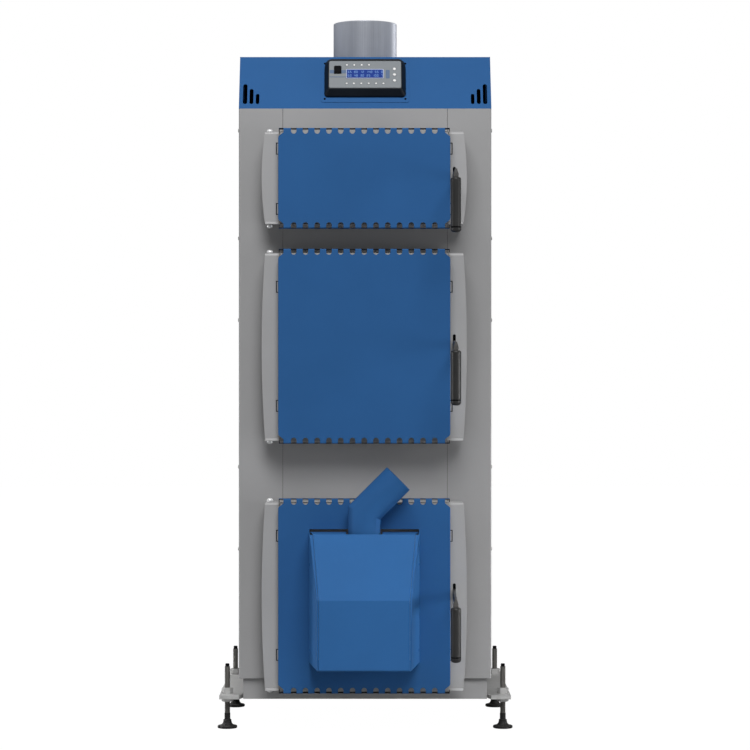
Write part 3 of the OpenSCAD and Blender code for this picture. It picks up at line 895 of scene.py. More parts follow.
class Workpiece:
    """One mesh in the making, from blank to finished object."""

    def __init__(self, name: str, lining: bpy.types.Material | None = None, cut_lined: bool = False) -> None:
        """Starts with an empty mesh.

        Args:
            name: The finished object's name.
            lining: Finish of the hidden side of its sheets, if that differs; the doors give it near-black painted
                shade.
            cut_lined: Whether the cut edges of its sheets have that finish too, as painted shade.
        """
        self.name = name
        self.lining = lining
        self.cut_lined = cut_lined
        self.bm = bmesh.new()

    def sheet(self, blank: Blank, place: Callable[[float, float], Vector], thickness: float) -> None:
        """Folds a blank and gives it its thickness, away from the side that faces out.

        Args:
            blank: The flat sheet.
            place: Where a point of the blank goes once it is folded.
            thickness: How thick the sheet is.
        """
        points, faces = blank.triangles()
        part = bmesh.new()
        verts = {k: part.verts.new(place(*points[k])) for k in sorted({k for face in faces for k in face})}
        for face in faces:
            part.faces.new([verts[k] for k in face])
        part.normal_update()
        self.thicken(part, thickness)

    def thicken(self, part: bmesh.types.BMesh, thickness: float) -> None:
        """Gives an open surface a back and a rim, and adds it.

        Args:
            part: The surface, whose normals face out.
            thickness: How thick the sheet is.
        """
        rims = [e.link_loops[0] for e in part.edges if len(e.link_faces) == 1]
        rim_ends = [(loop.vert, loop.link_loop_next.vert) for loop in rims]
        backs = {v: part.verts.new(v.co - v.normal * thickness) for v in list(part.verts)}
        for face in list(part.faces):
            part.faces.new([backs[v] for v in reversed(face.verts)]).material_index = int(bool(self.lining))
        for a, b in rim_ends:
            part.faces.new([b, a, backs[a], backs[b]]).material_index = int(self.cut_lined)
        self._take(part)

    def _bridge(self, rings: Sequence[Sequence[bmesh.types.BMVert]]) -> None:
        """Joins each ring of vertices to the next.

        Args:
            rings: The rings, of which one may be a single point.
        """
        for low, high in zip(rings, rings[1:]):
            count = max(len(low), len(high))
            for k in range(count if count > 1 else 0):
                n = (k + 1) % count
                corners = (low[k % len(low)], low[n % len(low)], high[n % len(high)], high[k % len(high)])
                self.bm.faces.new(list(dict.fromkeys(corners)))

    def lathe(self, profile: Sequence[Point], place: Matrix, segments: int = 48) -> None:
        """Turns a profile round the local Z axis.

        Args:
            profile: Radius and height pairs, from one end to the other.
            place: Where the turned part goes.
            segments: Steps round the axis.
        """
        self.skin([[place @ p for p in circle(r, h, segments if r > 1e-7 else 1)] for r, h in profile], False)

    def prism(
        self,
        outline: Sequence[Point],
        height: float,
        place: Matrix,
        bevel: float = 0.0,
        steps: int = 2,
    ) -> None:
        """Raises an outline along the local Z axis and rounds its edges.

        Args:
            outline: Corners in the local XY plane, counter-clockwise.
            height: How far it is raised.
            place: Where it goes.
            bevel: Width of the rounding.
            steps: Segments of the rounding.
        """
        part = bmesh.new()
        low = [part.verts.new((x, y, 0)) for x, y in outline]
        high = [part.verts.new((x, y, height)) for x, y in outline]
        caps = {part.faces.new(list(reversed(low))), part.faces.new(high)}
        for k in range(len(outline)):
            n = (k + 1) % len(outline)
            part.faces.new([low[k], low[n], high[n], high[k]])
        if bevel > 0:
            sharp = [e for e in part.edges if e.calc_face_angle(0) > BEVEL_ANGLE or set(e.link_faces) & caps]
            round_off(part, sharp, bevel, steps, 0.6)
        bmesh.ops.transform(part, matrix=place, verts=part.verts)
        self._take(part)

    def block(self, low: Vector, high: Vector, bevel: float = 0.0) -> None:
        """Adds a block between two corners, with rounded edges of the bevel's width."""
        size = Vector(high) - Vector(low)
        self.prism(rectangle((0, 0), (size.x, size.y)), size.z, Matrix.Translation(low), bevel)

    def tube(self, path: Sequence[Vector], radius: float, sides: int) -> None:
        """Sweeps a circle along a closed path.

        Args:
            path: Points of the path.
            radius: The circle's radius.
            sides: Its number of sides.
        """
        rings = []
        side = None
        for k, point in enumerate(path):
            along = (Vector(path[(k + 1) % len(path)]) - Vector(path[k - 1])).normalized()
            side = (along.orthogonal() if side is None else side - along * side.dot(along)).normalized()
            turn = Matrix((side, along.cross(side), along)).transposed()
            rings.append([self.bm.verts.new(Vector(point) + turn @ p) for p in circle(radius, 0.0, sides)])
        self._bridge([*rings, rings[0]])

    def skin(self, rings: Sequence[Sequence[Vector]], cap_ends: bool = True) -> None:
        """Stretches a skin over rings.

        Args:
            rings: Rings of points, in order.
            cap_ends: Whether the first and last ring are filled.
        """
        made = [[self.bm.verts.new(p) for p in points] for points in rings]
        self._bridge(made)
        if cap_ends:
            self.bm.faces.new(list(reversed(made[0])))
            self.bm.faces.new(made[-1])

    def _take(self, part: bmesh.types.BMesh) -> None:
        """Adds another mesh to this one and frees it.

        Args:
            part: The other mesh.
        """
        mesh = bpy.data.meshes.new("part")
        part.to_mesh(mesh)
        part.free()
        self.bm.from_mesh(mesh)
        bpy.data.meshes.remove(mesh)

    def finish(self, material: bpy.types.Material, body: str, slot: Slot, replaces: Sequence[str]) -> None:
        """Turns the mesh into an object that rides on its body.

        Args:
            material: The finish.
            body: The CAD body that carries it.
            slot: The record's slot that the finish belongs to.
            replaces: CAD nodes that the piece stands for.
        """
        bmesh.ops.recalc_face_normals(self.bm, faces=self.bm.faces)
        mesh = bpy.data.meshes.new(self.name)
        self.bm.to_mesh(mesh)
        self.bm.free()
        mesh.polygons.foreach_set("use_smooth", [True] * len(mesh.polygons))
        mesh.set_sharp_from_angle(angle=SHARP_ANGLE)
        piece = bpy.data.objects.new(self.name, mesh)
        bpy.context.scene.collection.objects.link(piece)
        mesh.materials.append(material)
        if self.lining:
            mesh.materials.append(self.lining)
        piece.modifiers.new("even_shading", "WEIGHTED_NORMAL").keep_sharp = True
        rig.ride(piece, body)
        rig.slot(piece, slot.value)
        if replaces:
            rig.replaces(piece, *replaces)
        log.info("%s: %d faces on %s", self.name, len(mesh.polygons), body)


def round_off(part: bmesh.types.BMesh, edges: Sequence, width: float, steps: int, profile: float) -> None:
    """Bevels edges of a mesh.

    Args:
        part: The mesh.
        edges: The edges to round.
        width: Width of the rounding.
        steps: Its segments.
        profile: Its shape, where 0.5 is a quarter circle.
    """
    options = {"segments": steps, "profile": profile, "affect": "EDGES", "clamp_overlap": True}
    bmesh.ops.bevel(part, geom=edges, offset=width, **options)


def aim(origin: Vector, axis: Vector) -> Matrix:
    """A placement at an origin, whose local Z points along an axis."""
    return Matrix.Translation(origin) @ Vector(axis).to_track_quat("Z", "Y").to_matrix().to_4x4()


def on_edge(x: float, y: float, z: float, lean: float = 0.0) -> Matrix:
    """A placement whose local X runs back and also right by the lean, Y up and Z right."""
    return Matrix(((lean, 0, 1, x), (1, 0, 0, y), (0, 1, 0, z), (0, 0, 0, 1)))


def washer(bore: float, outer: float, height: float, bevel: float) -> list[Point]:
    """Closed profile of a washer or collar with rounded rims.

    Args:
        bore: Inner radius.
        outer: Outer radius.
        height: Thickness along the axis.
        bevel: Size of the rim's rounding.

    Returns:
        Radius and height pairs.
    """
    rim = [(outer - bevel, 0), (outer, bevel), (outer, height - bevel), (outer - bevel, height)]
    return [(bore, 0), *rim, (bore, height), (bore, 0)]


def dome(radius: float, height: float, skirt: float) -> list[Point]:
    """Profile of a domed head, base first.

    Args:
        radius: Radius of the base.
        height: Height of the whole head.
        skirt: Height of the straight rim below the dome.

    Returns:
        Radius and height pairs.
    """
    turns = [math.pi / 2 * k / 7 for k in range(7)]
    curve = [(radius * math.cos(t), skirt + (height - skirt) * math.sin(t)) for t in turns]
    return [(0.0, 0.0), (radius, 0.0), *curve, (0.0, height)]


@dataclass(frozen=True)
class ScrewHead:
    """A low pan head with a round drive recess."""

    radius: float = 4.6 * MM
    height: float = 2.4 * MM
    recess: float = 1.7 * MM

    def cut(self, piece: Workpiece, spots: Iterable[Vector], axis: Vector) -> None:
        """Adds a head at each spot.

        Args:
            piece: The workpiece that takes the heads.
            spots: Where the heads stand.
            axis: The direction in which they stand out.
        """
        r, h, d = self.radius, self.height, self.recess
        profile = [(0.0, -0.6 * MM), (r, -0.6 * MM), (r, h * 0.35), (r * 0.86, h * 0.75), (r * 0.6, h * 0.95)]
        profile += [(d * 1.05, h), (d, h * 0.55), (0.0, h * 0.40)]
        for spot in spots:
            piece.lathe(profile, aim(spot, axis), 24)


@dataclass(frozen=True)
class HexNut:
    """A hexagon nut with chamfered corners."""

    across_flats: float
    height: float
    bore: float

    def cut(self, piece: Workpiece, place: Matrix) -> None:
        """Adds the nut, standing on the placement's origin.

        Args:
            piece: The workpiece that takes it.
            place: Where the nut's lower face and axis are.
        """
        sides = 36
        flat = self.across_flats / 2
        corner, narrow = flat / math.cos(math.pi / 6), flat * 1.04
        unit = circle(1.0, 0.0, sides)
        offs = [TAU * k / sides % (math.pi / 3) - math.pi / 6 for k in range(sides)]
        rings = [circle(self.bore, 0.0, sides)]
        for share, limit in ((0.0, narrow), (0.12, corner), (0.88, corner), (1.0, narrow)):
            reaches = [min(flat / math.cos(off), limit) for off in offs]
            rings.append([Vector((p.x * r, p.y * r, self.height * share)) for p, r in zip(unit, reaches)])
        rings += [circle(self.bore, self.height, sides), rings[0]]
        piece.skin([[place @ p for p in points] for points in rings], cap_ends=False)


def dress(node: str, material: bpy.types.Material) -> None:
    """Gives a CAD node its finish and keeps its shape.

    Args:
        node: The node's name.
        material: The finish.
    """
    piece = frame["nodes"][node]
    if piece.material_slots:
        for place in piece.material_slots:
            place.material = material
    else:
        piece.data.materials.append(material)
    log.info("%s: dressed with %s", node, material.name)


def joint_place(name: str) -> Vector:
    """The point that a joint's axis passes through."""
    return Vector(next(j for j in frame["joints"] if j["name"] == name)["pos_m"])


class Box:
    """A CAD node's box: its lowest and highest corner, its middle and half its size."""

    def __init__(self, node: str) -> None:
        """Reads the node's box from the frame.

        Args:
            node: The node's name.
        """
        self.low, self.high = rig.box(node)
        self.mid = (self.low + self.high) / 2
        self.half = (self.high - self.low) / 2


# ------------------------------------------------------------------ studio


@dataclass(frozen=True)
class Panel:
    """A square area lamp: edge in metres, power in watts, place, target and beam in degrees."""

    name: str
    size: float
    power: float
    place: Vector
    target: Vector
    beam: float = 180.0

    def lamp(self) -> bpy.types.Light:
        """Makes the lamp.

        Returns:
            The lamp's data.
        """
        data = bpy.data.lights.new(self.name, "AREA")
        data.shape = "SQUARE"
        data.size = self.size
        data.energy = self.power
        data.spread = math.radians(self.beam)
        return data


@dataclass
class Studio:
    """Camera, floor, world and lamps."""

    distance: float = 5.936
    eye_height: float = 0.862
    lens: float = 120.0
    shift: Point = (0.0132, -0.0093)
    world_level: float = 0.115
    sun_strength: float = 1.62
    sun_angle: float = 26.0
    floor_tones: Point = (0.35, 0.38)
    floor_half: float = 12.0
    floor_white: float = 1.04
    floor_share: float = 0.96

    def build(self) -> None:
        """Makes the whole studio."""
        self._camera()
        self._world()
        self._lamps()
        self._floor()

    def _hang(self, name: str, data: bpy.types.ID, place: Vector, turn: Sequence[float]) -> bpy.types.Object:
        """Puts a camera, a lamp or a mesh into the scene.

        Args:
            name: The object's name.
            data: What it shows.
            place: Where it stands.
            turn: Its rotation in radians.

        Returns:
            The object.
        """
        thing = bpy.data.objects.new(name, data)
        thing.location = place
        thing.rotation_euler = turn
        bpy.context.scene.collection.objects.link(thing)
        return thing

    def _camera(self) -> None:
        """Puts the camera in front of the doors, level and square to them."""
        data = bpy.data.cameras.new("camera")
        data.lens = self.lens
        data.sensor_width = 36.0
        data.shift_x, data.shift_y = self.shift
        data.clip_end = 60.0
        place = Vector((0.0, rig.box("front_panel")[0].y - self.distance, self.eye_height))
        bpy.context.scene.camera = self._hang("camera", data, place, (math.pi / 2, 0.0, 0.0))
        bpy.context.scene.view_settings.view_transform = "Standard"

    def _world(self) -> None:
        """White where the camera sees it, straight or through glass, and an even light elsewhere."""
        world = bpy.data.worlds.new("studio")
        bpy.context.scene.world = world
        world.use_nodes = True
        world.node_tree.nodes.clear()
        w = Wiring(world.node_tree)
        lit = w.add("Background", {"Color": WHITE, "Strength": self.world_level})
        plain = w.add("Background", {"Color": WHITE, "Strength": 1.0})
        mixed = w.add("MixShader", {0: w.seen(), 1: lit.outputs[0], 2: plain.outputs[0]})
        w.add("OutputWorld", {"Surface": mixed.outputs[0]})

    def _lamps(self) -> None:
        """A soft sun from high in front, lamps all round, and weak ones for what stays in shade."""
        sun = bpy.data.lights.new("key", "SUN")
        sun.energy = self.sun_strength
        sun.angle = math.radians(self.sun_angle)
        belly, foot = Vector((0.0, -0.45, 0.5)), Vector((0.0, -0.2, 0.1))
        rail, cover = Box("rail_left").mid, Box("burner_cover").mid
        hood_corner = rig.box("hood")[0] + Vector((0.3, 0.0, 0.0))
        lamps = [(sun, Vector((0.6, -3.2, 3.8)), Vector((0.0, 0.0, 1.0)))]
        for panel in (
            Panel("rim", 1.2, 13.0, Vector((2.4, 2.4, 2.0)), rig.box("flue_spigot")[1]),
            Panel("rail_fill", 0.5, 3.0, rail + Vector((-1.3, 0.8, 1.2)), rail, 60.0),
            Panel("burner_fill", 0.6, 1.1, cover + Vector((2.4, -0.2, 0.3)), cover, 34.0),
            Panel("low_fill", 0.8, 0.12, foot + Vector((0.0, -2.0, 0.25)), foot, 34.0),
            Panel("side_left", 1.2, 27.0, Vector((-3.5, -0.5, 0.6)), belly),
            Panel("side_right", 1.4, 24.0, Vector((3.2, -1.7, 0.8)), belly),
            Panel("top", 1.0, 30.0, Vector((-0.35, -1.8, 3.1)), hood_corner),
        ):
            lamps.append((panel.lamp(), panel.place, panel.target))
        for data, place, target in lamps:
            self._hang(data.name, data, place, (target - place).to_track_quat("-Z", "Y").to_euler())

    def _floor(self) -> None:
        """A wide pale floor that shows as white and keeps the object's shadow."""
        half = self.floor_half
        mesh = bpy.data.meshes.new("floor")
        mesh.from_pydata([(x, y, 0) for x, y in rectangle((-half, -half), (half, half))], [], [(0, 1, 2, 3)])
        floor = self._hang("floor", mesh, Vector(), (0.0, 0.0, 0.0))
        material, w, shader = open_material("pale_floor")
        dark, light = ((tone,) * 3 for tone in self.floor_tones)
        tint = w.blend(w.spread(w.noise(3.0, 3.0), *NOISE_RANGE), dark, light)
        w.join(shader, {"Base Color": tint, "Roughness": 0.9})
        glow = w.add("Emission", {"Color": WHITE, "Strength": self.floor_white})
        share = w.math("MULTIPLY", w.seen(), self.floor_share)
        mixed = w.add("MixShader", {0: share, 1: shader.outputs[0], 2: glow.outputs[0]})
        w.join(next(n for n in w.tree.nodes if n.type == "OUTPUT_MATERIAL"), {"Surface": mixed.outputs[0]})
        mesh.materials.append(material)
        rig.stage(floor)


# ------------------------------------------------------------------ sub-assemblies


@dataclass
class SubAssembly:
    """A part of the boiler whose pieces ride on one body."""

    palette: Palette
    body: str = "boiler"

    def finish(self, piece: Workpiece, look: str, slot: Slot, *replaces: str) -> None:
        """Finishes a piece on this sub-assembly's body.

        Args:
            piece: The workpiece.
            look: The finish's name in the palette.
            slot: The record's slot.
            replaces: CAD nodes that the piece stands for.
        """
        piece.finish(self.palette[look], self.body, slot, replaces)

    def dress(self, look: str, *nodes: str) -> None:
        """Gives CAD nodes one of the palette's finishes.

        Args:
            look: The finish's name in the palette.
            nodes: The nodes' names.
        """
        for node in nodes:
            dress(node, self.palette[look])


@dataclass
class Door(SubAssembly):
    """One front door: grey tray, blue cover, insulated plug with its seal, hinge pins."""

    level: Level = Level.UPPER
    sheet: float = 2.0 * MM
    fold_radius: float = 3.0 * MM
    flap_radius: float = 2.0 * MM
    tray_radius: float = 7.0 * MM
    fold_zone: float = 10.5 * MM
    corner: Point = (12.5 * MM, 10.0 * MM)
    flange_inset: float = 1.5 * MM
    relief_count: int = 13
    relief_pitch: float = 27.5 * MM
    relief_width: float = 13.0 * MM
    relief_face: float = 14.0 * MM
    relief_back: float = 9.0 * MM
    slit: tuple[float, float, float] = (2.0 * MM, 6.0 * MM, 28.0 * MM)
    slit_gap: float = 2.2 * MM
    clip_share: float = 0.312
    clip_drop: float = 2.4 * MM
    strip_width: float = 24.0 * MM
    strip_depth: float = 9.5 * MM
    bow: float = 8.0 * MM
    tray_end_half: float = 233.0 * MM
    flange_depth: float = 45.0 * MM
    lever_slot: tuple[float, float, float] = (7.0 * MM, 13.5 * MM, 28.0 * MM)
    burner_hole: float = 61.0 * MM
    burner_axis: float = 330.0 * MM
    rope_radius: float = 5.2 * MM

    def __post_init__(self) -> None:
        """Reads the door's places from the frame."""
        self.name = self.level.value
        self.body = self.level.door
        self.blue, self.grey = Box(f"cover_{self.name}"), Box(f"tray_{self.name}")
        self.mid, self.middle_x = self.blue.mid.z, self.blue.mid.x
        self.half_w, self.half_h = self.blue.half.x, self.blue.half.z
        self.pivot = joint_place(f"{self.name}_lever_pivot")
        self.pin_place = Box(f"hinge_pins_{self.name}").mid
        self.clip_rise = self.clip_share * 2 * self.half_h - self.clip_drop

    def build(self) -> None:
        """Makes every piece of the door."""
        self.cover()
        self.cover_supports()
        self.slit_backs()
        self.lip()
        self.tray()
        self.latch_bracket()
        self.lever_pocket()
        self.plug()
        self.hinge_pins()

    def _slit(self, side: int, height: float) -> list[Point]:
        """Outline of the thin cut round one clip of the tray, open towards the cover.

        Args:
            side: -1 for the left edge of the cover, 1 for the right.
            height: Height of the clip's middle on the blank.

        Returns:
            The cut's corners.
        """
        reach_in, reach_out, tall = self.slit
        start, end, gap = self.half_w - reach_in, self.half_w + reach_out, self.slit_gap
        low, high = height - tall / 2, height + tall / 2
        loop = [*rectangle((start, low), (end, high)), (start, high - gap), (end - gap, high - gap)]
        loop += [(end - gap, low + gap), (start, low + gap)]
        return [(side * u, v) for u, v in loop]

    def cover(self) -> None:
        """Folds the blue cover from one blank, with relief slots, open corners and side flaps."""
        half_w, half_h, face_y = self.half_w, self.half_h, self.blue.low.y
        flange = self.grey.low.y - face_y - 1 * MM
        side = flange - 5 * MM
        across = FoldPath(((-half_w, side), (-half_w, 0.0), (half_w, 0.0), (half_w, side)), self.flap_radius)
        corners = ((flange, -half_h), (0.0, -half_h), (0.0, half_h), (flange, half_h))
        upright = FoldPath(corners, self.fold_radius)
        shoulder, back = half_h - self.fold_zone, half_h + flange

        def place(u: float, v: float) -> Vector:
            """Folds both pairs of flanges back; no point lies on two of them."""
            b = upright.at(v + back)
            a = Vector((u, 0.0)) if abs(v) > shoulder else across.at(u + half_w + side)
            return Vector((self.middle_x + a.x, face_y + a.y + b.x, self.mid + b.y))

        inner, wide, nick = half_w - self.corner[0], half_w - self.flange_inset, 3 * MM
        side_top = shoulder - self.corner[1]
        flap_top, flap_edge, lip = side_top - 2 * MM, half_w + side, half_h + 1.2 * MM
        quarter = [(flap_edge, flap_top - nick), (flap_edge - nick, flap_top)]
        quarter += [(half_w, flap_top), (half_w, side_top)]
        quarter += [(inner, shoulder), (inner, lip), (wide, lip), (wide, back - nick), (wide - nick, back)]
        outline = mirrored([(u, -v) for u, v in reversed(quarter)] + quarter)
        first, tall = -(self.relief_count - 1) / 2, self.relief_face + self.relief_back
        middle = half_h + tall / 2 - self.relief_face
        holes = [
            obround(((first + k) * self.relief_pitch, edge * middle), self.relief_width, tall)
            for edge in (-1, 1)
            for k in range(self.relief_count)
        ]
        if self.level is Level.LOWER:
            burner = Box("burner_cover")
            cut, foot = burner.half.x - 1.3 * MM, burner.low.z - self.mid + 4 * MM
            holes.append(rectangle((-cut, foot), (cut, burner.high.z - self.mid + 8 * MM)))
        blank = Blank(outline, holes, across.creases(-half_w - side), upright.creases(-back))
        # The hidden side and cut edges take the near-black finish: painted shade in the narrow gap between cover and
        # tray.
        piece = Workpiece(f"door_cover_{self.name}", self.palette["primer"], cut_lined=True)
        piece.sheet(blank, place, self.sheet)
        self.finish(piece, "blue", Slot.BLUE_PAINT, f"cover_{self.name}")

    def cover_supports(self) -> None:
        """Grey strips behind the rows of relief slots, and a small tab at each flange's end, near-black as painted
        shade.
        """
        face_y = self.blue.low.y
        strips, tabs = Workpiece(f"cover_strips_{self.name}"), Workpiece(f"cover_tabs_{self.name}")
        for edge, rim in ((-1, self.grey.low.z), (1, self.grey.high.z)):
            half, front = self.half_w - 5 * MM, face_y + self.strip_depth
            foot, top = sorted((rim - edge * 1.2 * MM, rim - edge * self.strip_width))
            low = Vector((self.middle_x - half, front, foot))
            strips.block(low, Vector((self.middle_x + half, front + 1.5 * MM, top)), 0.3 * MM)
            foot, top = sorted((edge * (self.half_h - 1.8 * MM), edge * (self.half_h - 8 * MM)))
            for side in (-1, 1):
                x = self.middle_x + side * (self.half_w - self.flange_inset - 0.8 * MM)
                low = Vector((x - 0.8 * MM, face_y + 3 * MM, self.mid + foot))
                tabs.block(low, Vector((x + 0.8 * MM, face_y + 14 * MM, self.mid + top)), 0.2 * MM)
        self.finish(strips, "tray", Slot.GREY_TRAY)
        # Near-black tabs: painted shade at the flanges' ends.
        self.finish(tabs, "primer", Slot.BLUE_PAINT)

    def tray(self) -> None:
        """Folds the grey tray: bowed sides, cuts round its clips, a slot for the lever."""
        half_h, tray_mid = self.grey.half.z, self.grey.mid.z
        face_y, end, depth = self.grey.low.y, self.tray_end_half, self.flange_depth
        shift, back = self.mid - tray_mid, half_h + depth
        corners = ((depth, -half_h), (0.0, -half_h), (0.0, half_h), (depth, half_h))
        upright = FoldPath(corners, self.tray_radius)

        def place(u: float, v: float) -> Vector:
            """Folds the top and bottom flange back."""
            b = upright.at(v + back)
            return Vector((self.middle_x + u, face_y + b.x, tray_mid + b.y))

        bow_r = (half_h**2 + self.bow**2) / (2 * self.bow)
        swing = math.degrees(math.asin(half_h / bow_r))
        side_arc = arc((end + self.bow - bow_r, 0.0), bow_r, -swing, swing, 24)
        flange_end, nick = end - 1 * MM, 2 * MM
        right = [(flange_end - nick, -back), (flange_end, -back + nick), (flange_end, -half_h), *side_arc]
        right += [(flange_end, half_h), (flange_end, back - nick), (flange_end - nick, back)]
        rises = (-self.clip_rise, self.clip_rise)
        holes = [self._slit(side, shift + rise) for side in (-1, 1) for rise in rises]
        pin_u, pin_v = self.pin_place.x - self.middle_x, half_h + self.pin_place.y - face_y
        holes += [arc((pin_u, side * pin_v), 5.3 * MM, 0, 345, 23) for side in (-1, 1)]
        wide, low, high = self.lever_slot
        slot_x = self.pivot.x - self.middle_x
        slot_low, slot_high = (slot_x - wide / 2, shift - low), (slot_x + wide / 2, shift + high)
        holes.append(rounded_rectangle(slot_low, slot_high, wide * 0.45, 5))
        if self.level is Level.LOWER:
            holes.append(arc((0.0, self.burner_axis - tray_mid), self.burner_hole, 0, 350, 35))
        # The tray's hidden side takes the near-black finish: painted shade behind its cuts and slots.
        piece = Workpiece(f"door_tray_{self.name}", self.palette["primer"])
        piece.sheet(Blank(mirrored(right), holes, (), upright.creases(-back)), place, self.sheet)
        self.finish(piece, "tray", Slot.GREY_TRAY, f"tray_{self.name}")

    def slit_backs(self) -> None:
        """Near-black plates behind the cuts round the clips: painted shade in the cuts."""
        reach_in, reach_out, tall = self.slit
        front, margin = self.grey.low.y + self.sheet + 0.1 * MM, 2 * MM
        piece = Workpiece(f"clip_backs_{self.name}")
        for side in (-1, 1):
            ends = (self.half_w - reach_in - margin, self.half_w + reach_out + margin)
            left, right = sorted(self.middle_x + side * u for u in ends)
            for middle in (self.mid - self.clip_rise, self.mid + self.clip_rise):
                low = Vector((left, front, middle - tall / 2 - margin))
                piece.block(low, Vector((right, front + 1 * MM, middle + tall / 2 + margin)), 0.2 * MM)
        self.finish(piece, "primer", Slot.GREY_TRAY)

    def lip(self) -> None:
        """The narrow sloping lip along the tray's lower edge."""
        half, root = self.tray_end_half - 0.5 * MM, self.grey.low
        section = ((7.0, 0.0), (7.0, 1.5), (1.5, 5.6), (0.4, 6.2), (-4.0, 0.9), (-4.0, 0.0))
        piece = Workpiece(f"tray_lip_{self.name}")
        place = on_edge(self.middle_x - half, root.y, root.z)
        piece.prism([(y * MM, z * MM) for y, z in section], 2 * half, place, 0.25 * MM)
        self.finish(piece, "tray", Slot.GREY_TRAY)

    def lever_pocket(self) -> None:
        """Near-black pocket behind the upper end of the lever's slot: painted shade in the slot."""
        low, high = self.mid + 12.4 * MM, self.mid + 31 * MM
        front, back = self.grey.low.y + self.sheet, self.pivot.y + 2 * MM
        left, right, wall = self.pivot.x - 4.6 * MM, self.pivot.x + 4.6 * MM, 1.2 * MM
        piece = Workpiece(f"lever_pocket_{self.name}")
        for start, end in (
            ((left - wall, front, low), (left, back, high)),
            ((right, front, low), (right + wall, back, high)),
            ((left, back - wall, low), (right, back, high)),
            ((left, front, high - wall), (right, back - wall, high)),
        ):
            piece.block(Vector(start), Vector(end), 0.2 * MM)
        self.finish(piece, "primer", Slot.ZINC_STEEL)

    def latch_bracket(self) -> None:
        """Two cheeks behind the tray, with the pin on which the lever turns."""
        root_y = self.grey.low.y + self.sheet
        reach, half, gap, thick = self.pivot.y - root_y, 12 * MM, 4.7 * MM, 3.5 * MM
        outline = [(0.0, -half), (reach - 6 * MM, -half), *arc((reach, 0.0), 8 * MM, -90, 90, 10)]
        outline += [(reach - 6 * MM, half), (0.0, half)]
        piece = Workpiece(f"latch_bracket_{self.name}")
        for start in (-gap - thick, gap):
            piece.prism(outline, thick, on_edge(self.pivot.x + start, root_y, self.mid), 0.5 * MM)
        end = gap + thick + 1 * MM
        pin = [(0.0, -end), (3.4 * MM, -end), (4 * MM, -end + 0.6 * MM)]
        piece.lathe([*pin, *((r, -h) for r, h in reversed(pin))], aim(self.pivot, Vector((1, 0, 0))), 32)
        self.finish(piece, "zinc", Slot.ZINC_STEEL)

    def plug(self) -> None:
        """Fibre board in two steps, a rope seal in front of the frame and four fixing bolts."""
        board = Box(f"plug_{self.name}")
        self.dress("board", f"plug_{self.name}")
        seal_y = self.grey.low.y + 43 * MM
        x_out, z_out = board.high.x - 9 * MM, board.half.z - 9 * MM
        path = rounded_rectangle((-x_out, -z_out), (x_out, z_out), 14 * MM)
        rope = Workpiece(f"seal_rope_{self.name}")
        rope.tube([Vector((x, seal_y, self.mid + z)) for x, z in path], self.rope_radius, 12)
        self.finish(rope, "rope", Slot.INSULATION)
        bolts = Workpiece(f"plug_bolts_{self.name}")
        reach, rise = 122 * MM, z_out - 34 * MM
        for x, z in ((-reach, -rise), (-reach, rise), (reach, -rise), (reach, rise)):
            place = aim(Vector((x, board.high.y, self.mid + z)), OUT_BACK)
            bolts.lathe(washer(0.0, 9 * MM, 1.4 * MM, 0.4 * MM), place, 32)
            HexNut(13 * MM, 5.5 * MM, 2 * MM).cut(bolts, place @ Matrix.Translation((0, 0, 1.2 * MM)))
            bolts.lathe(dome(4 * MM, 7.5 * MM, 6.5 * MM), place, 24)
        self.finish(bolts, "boiler_plate", Slot.BOILER_STEEL)

    def hinge_pins(self) -> None:
        """Domed zinc pins with washers, one through each end of the tray."""
        r, reach = 4.95 * MM, 12 * MM
        shank = [(0.0, -reach), (4.2 * MM, -reach), (r, -reach + 0.8 * MM), (r, 2 * MM), (0.0, 2 * MM)]
        head = [(x, h + 2.2 * MM) for x, h in dome(7.6 * MM, 6.0 * MM, 1.0 * MM)]
        piece = Workpiece(f"hinge_pins_domed_{self.name}")
        for side, edge in ((-1, self.grey.low.z), (1, self.grey.high.z)):
            place = aim(Vector((*self.pin_place.xy, edge)), Vector((0, 0, side)))
            for profile in (washer(4.9 * MM, 6.2 * MM, 2.4 * MM, 0.3 * MM), head, shank):
                piece.lathe(profile, place, 40)
        self.finish(piece, "bright_zinc", Slot.ZINC_STEEL, f"hinge_pins_{self.name}")


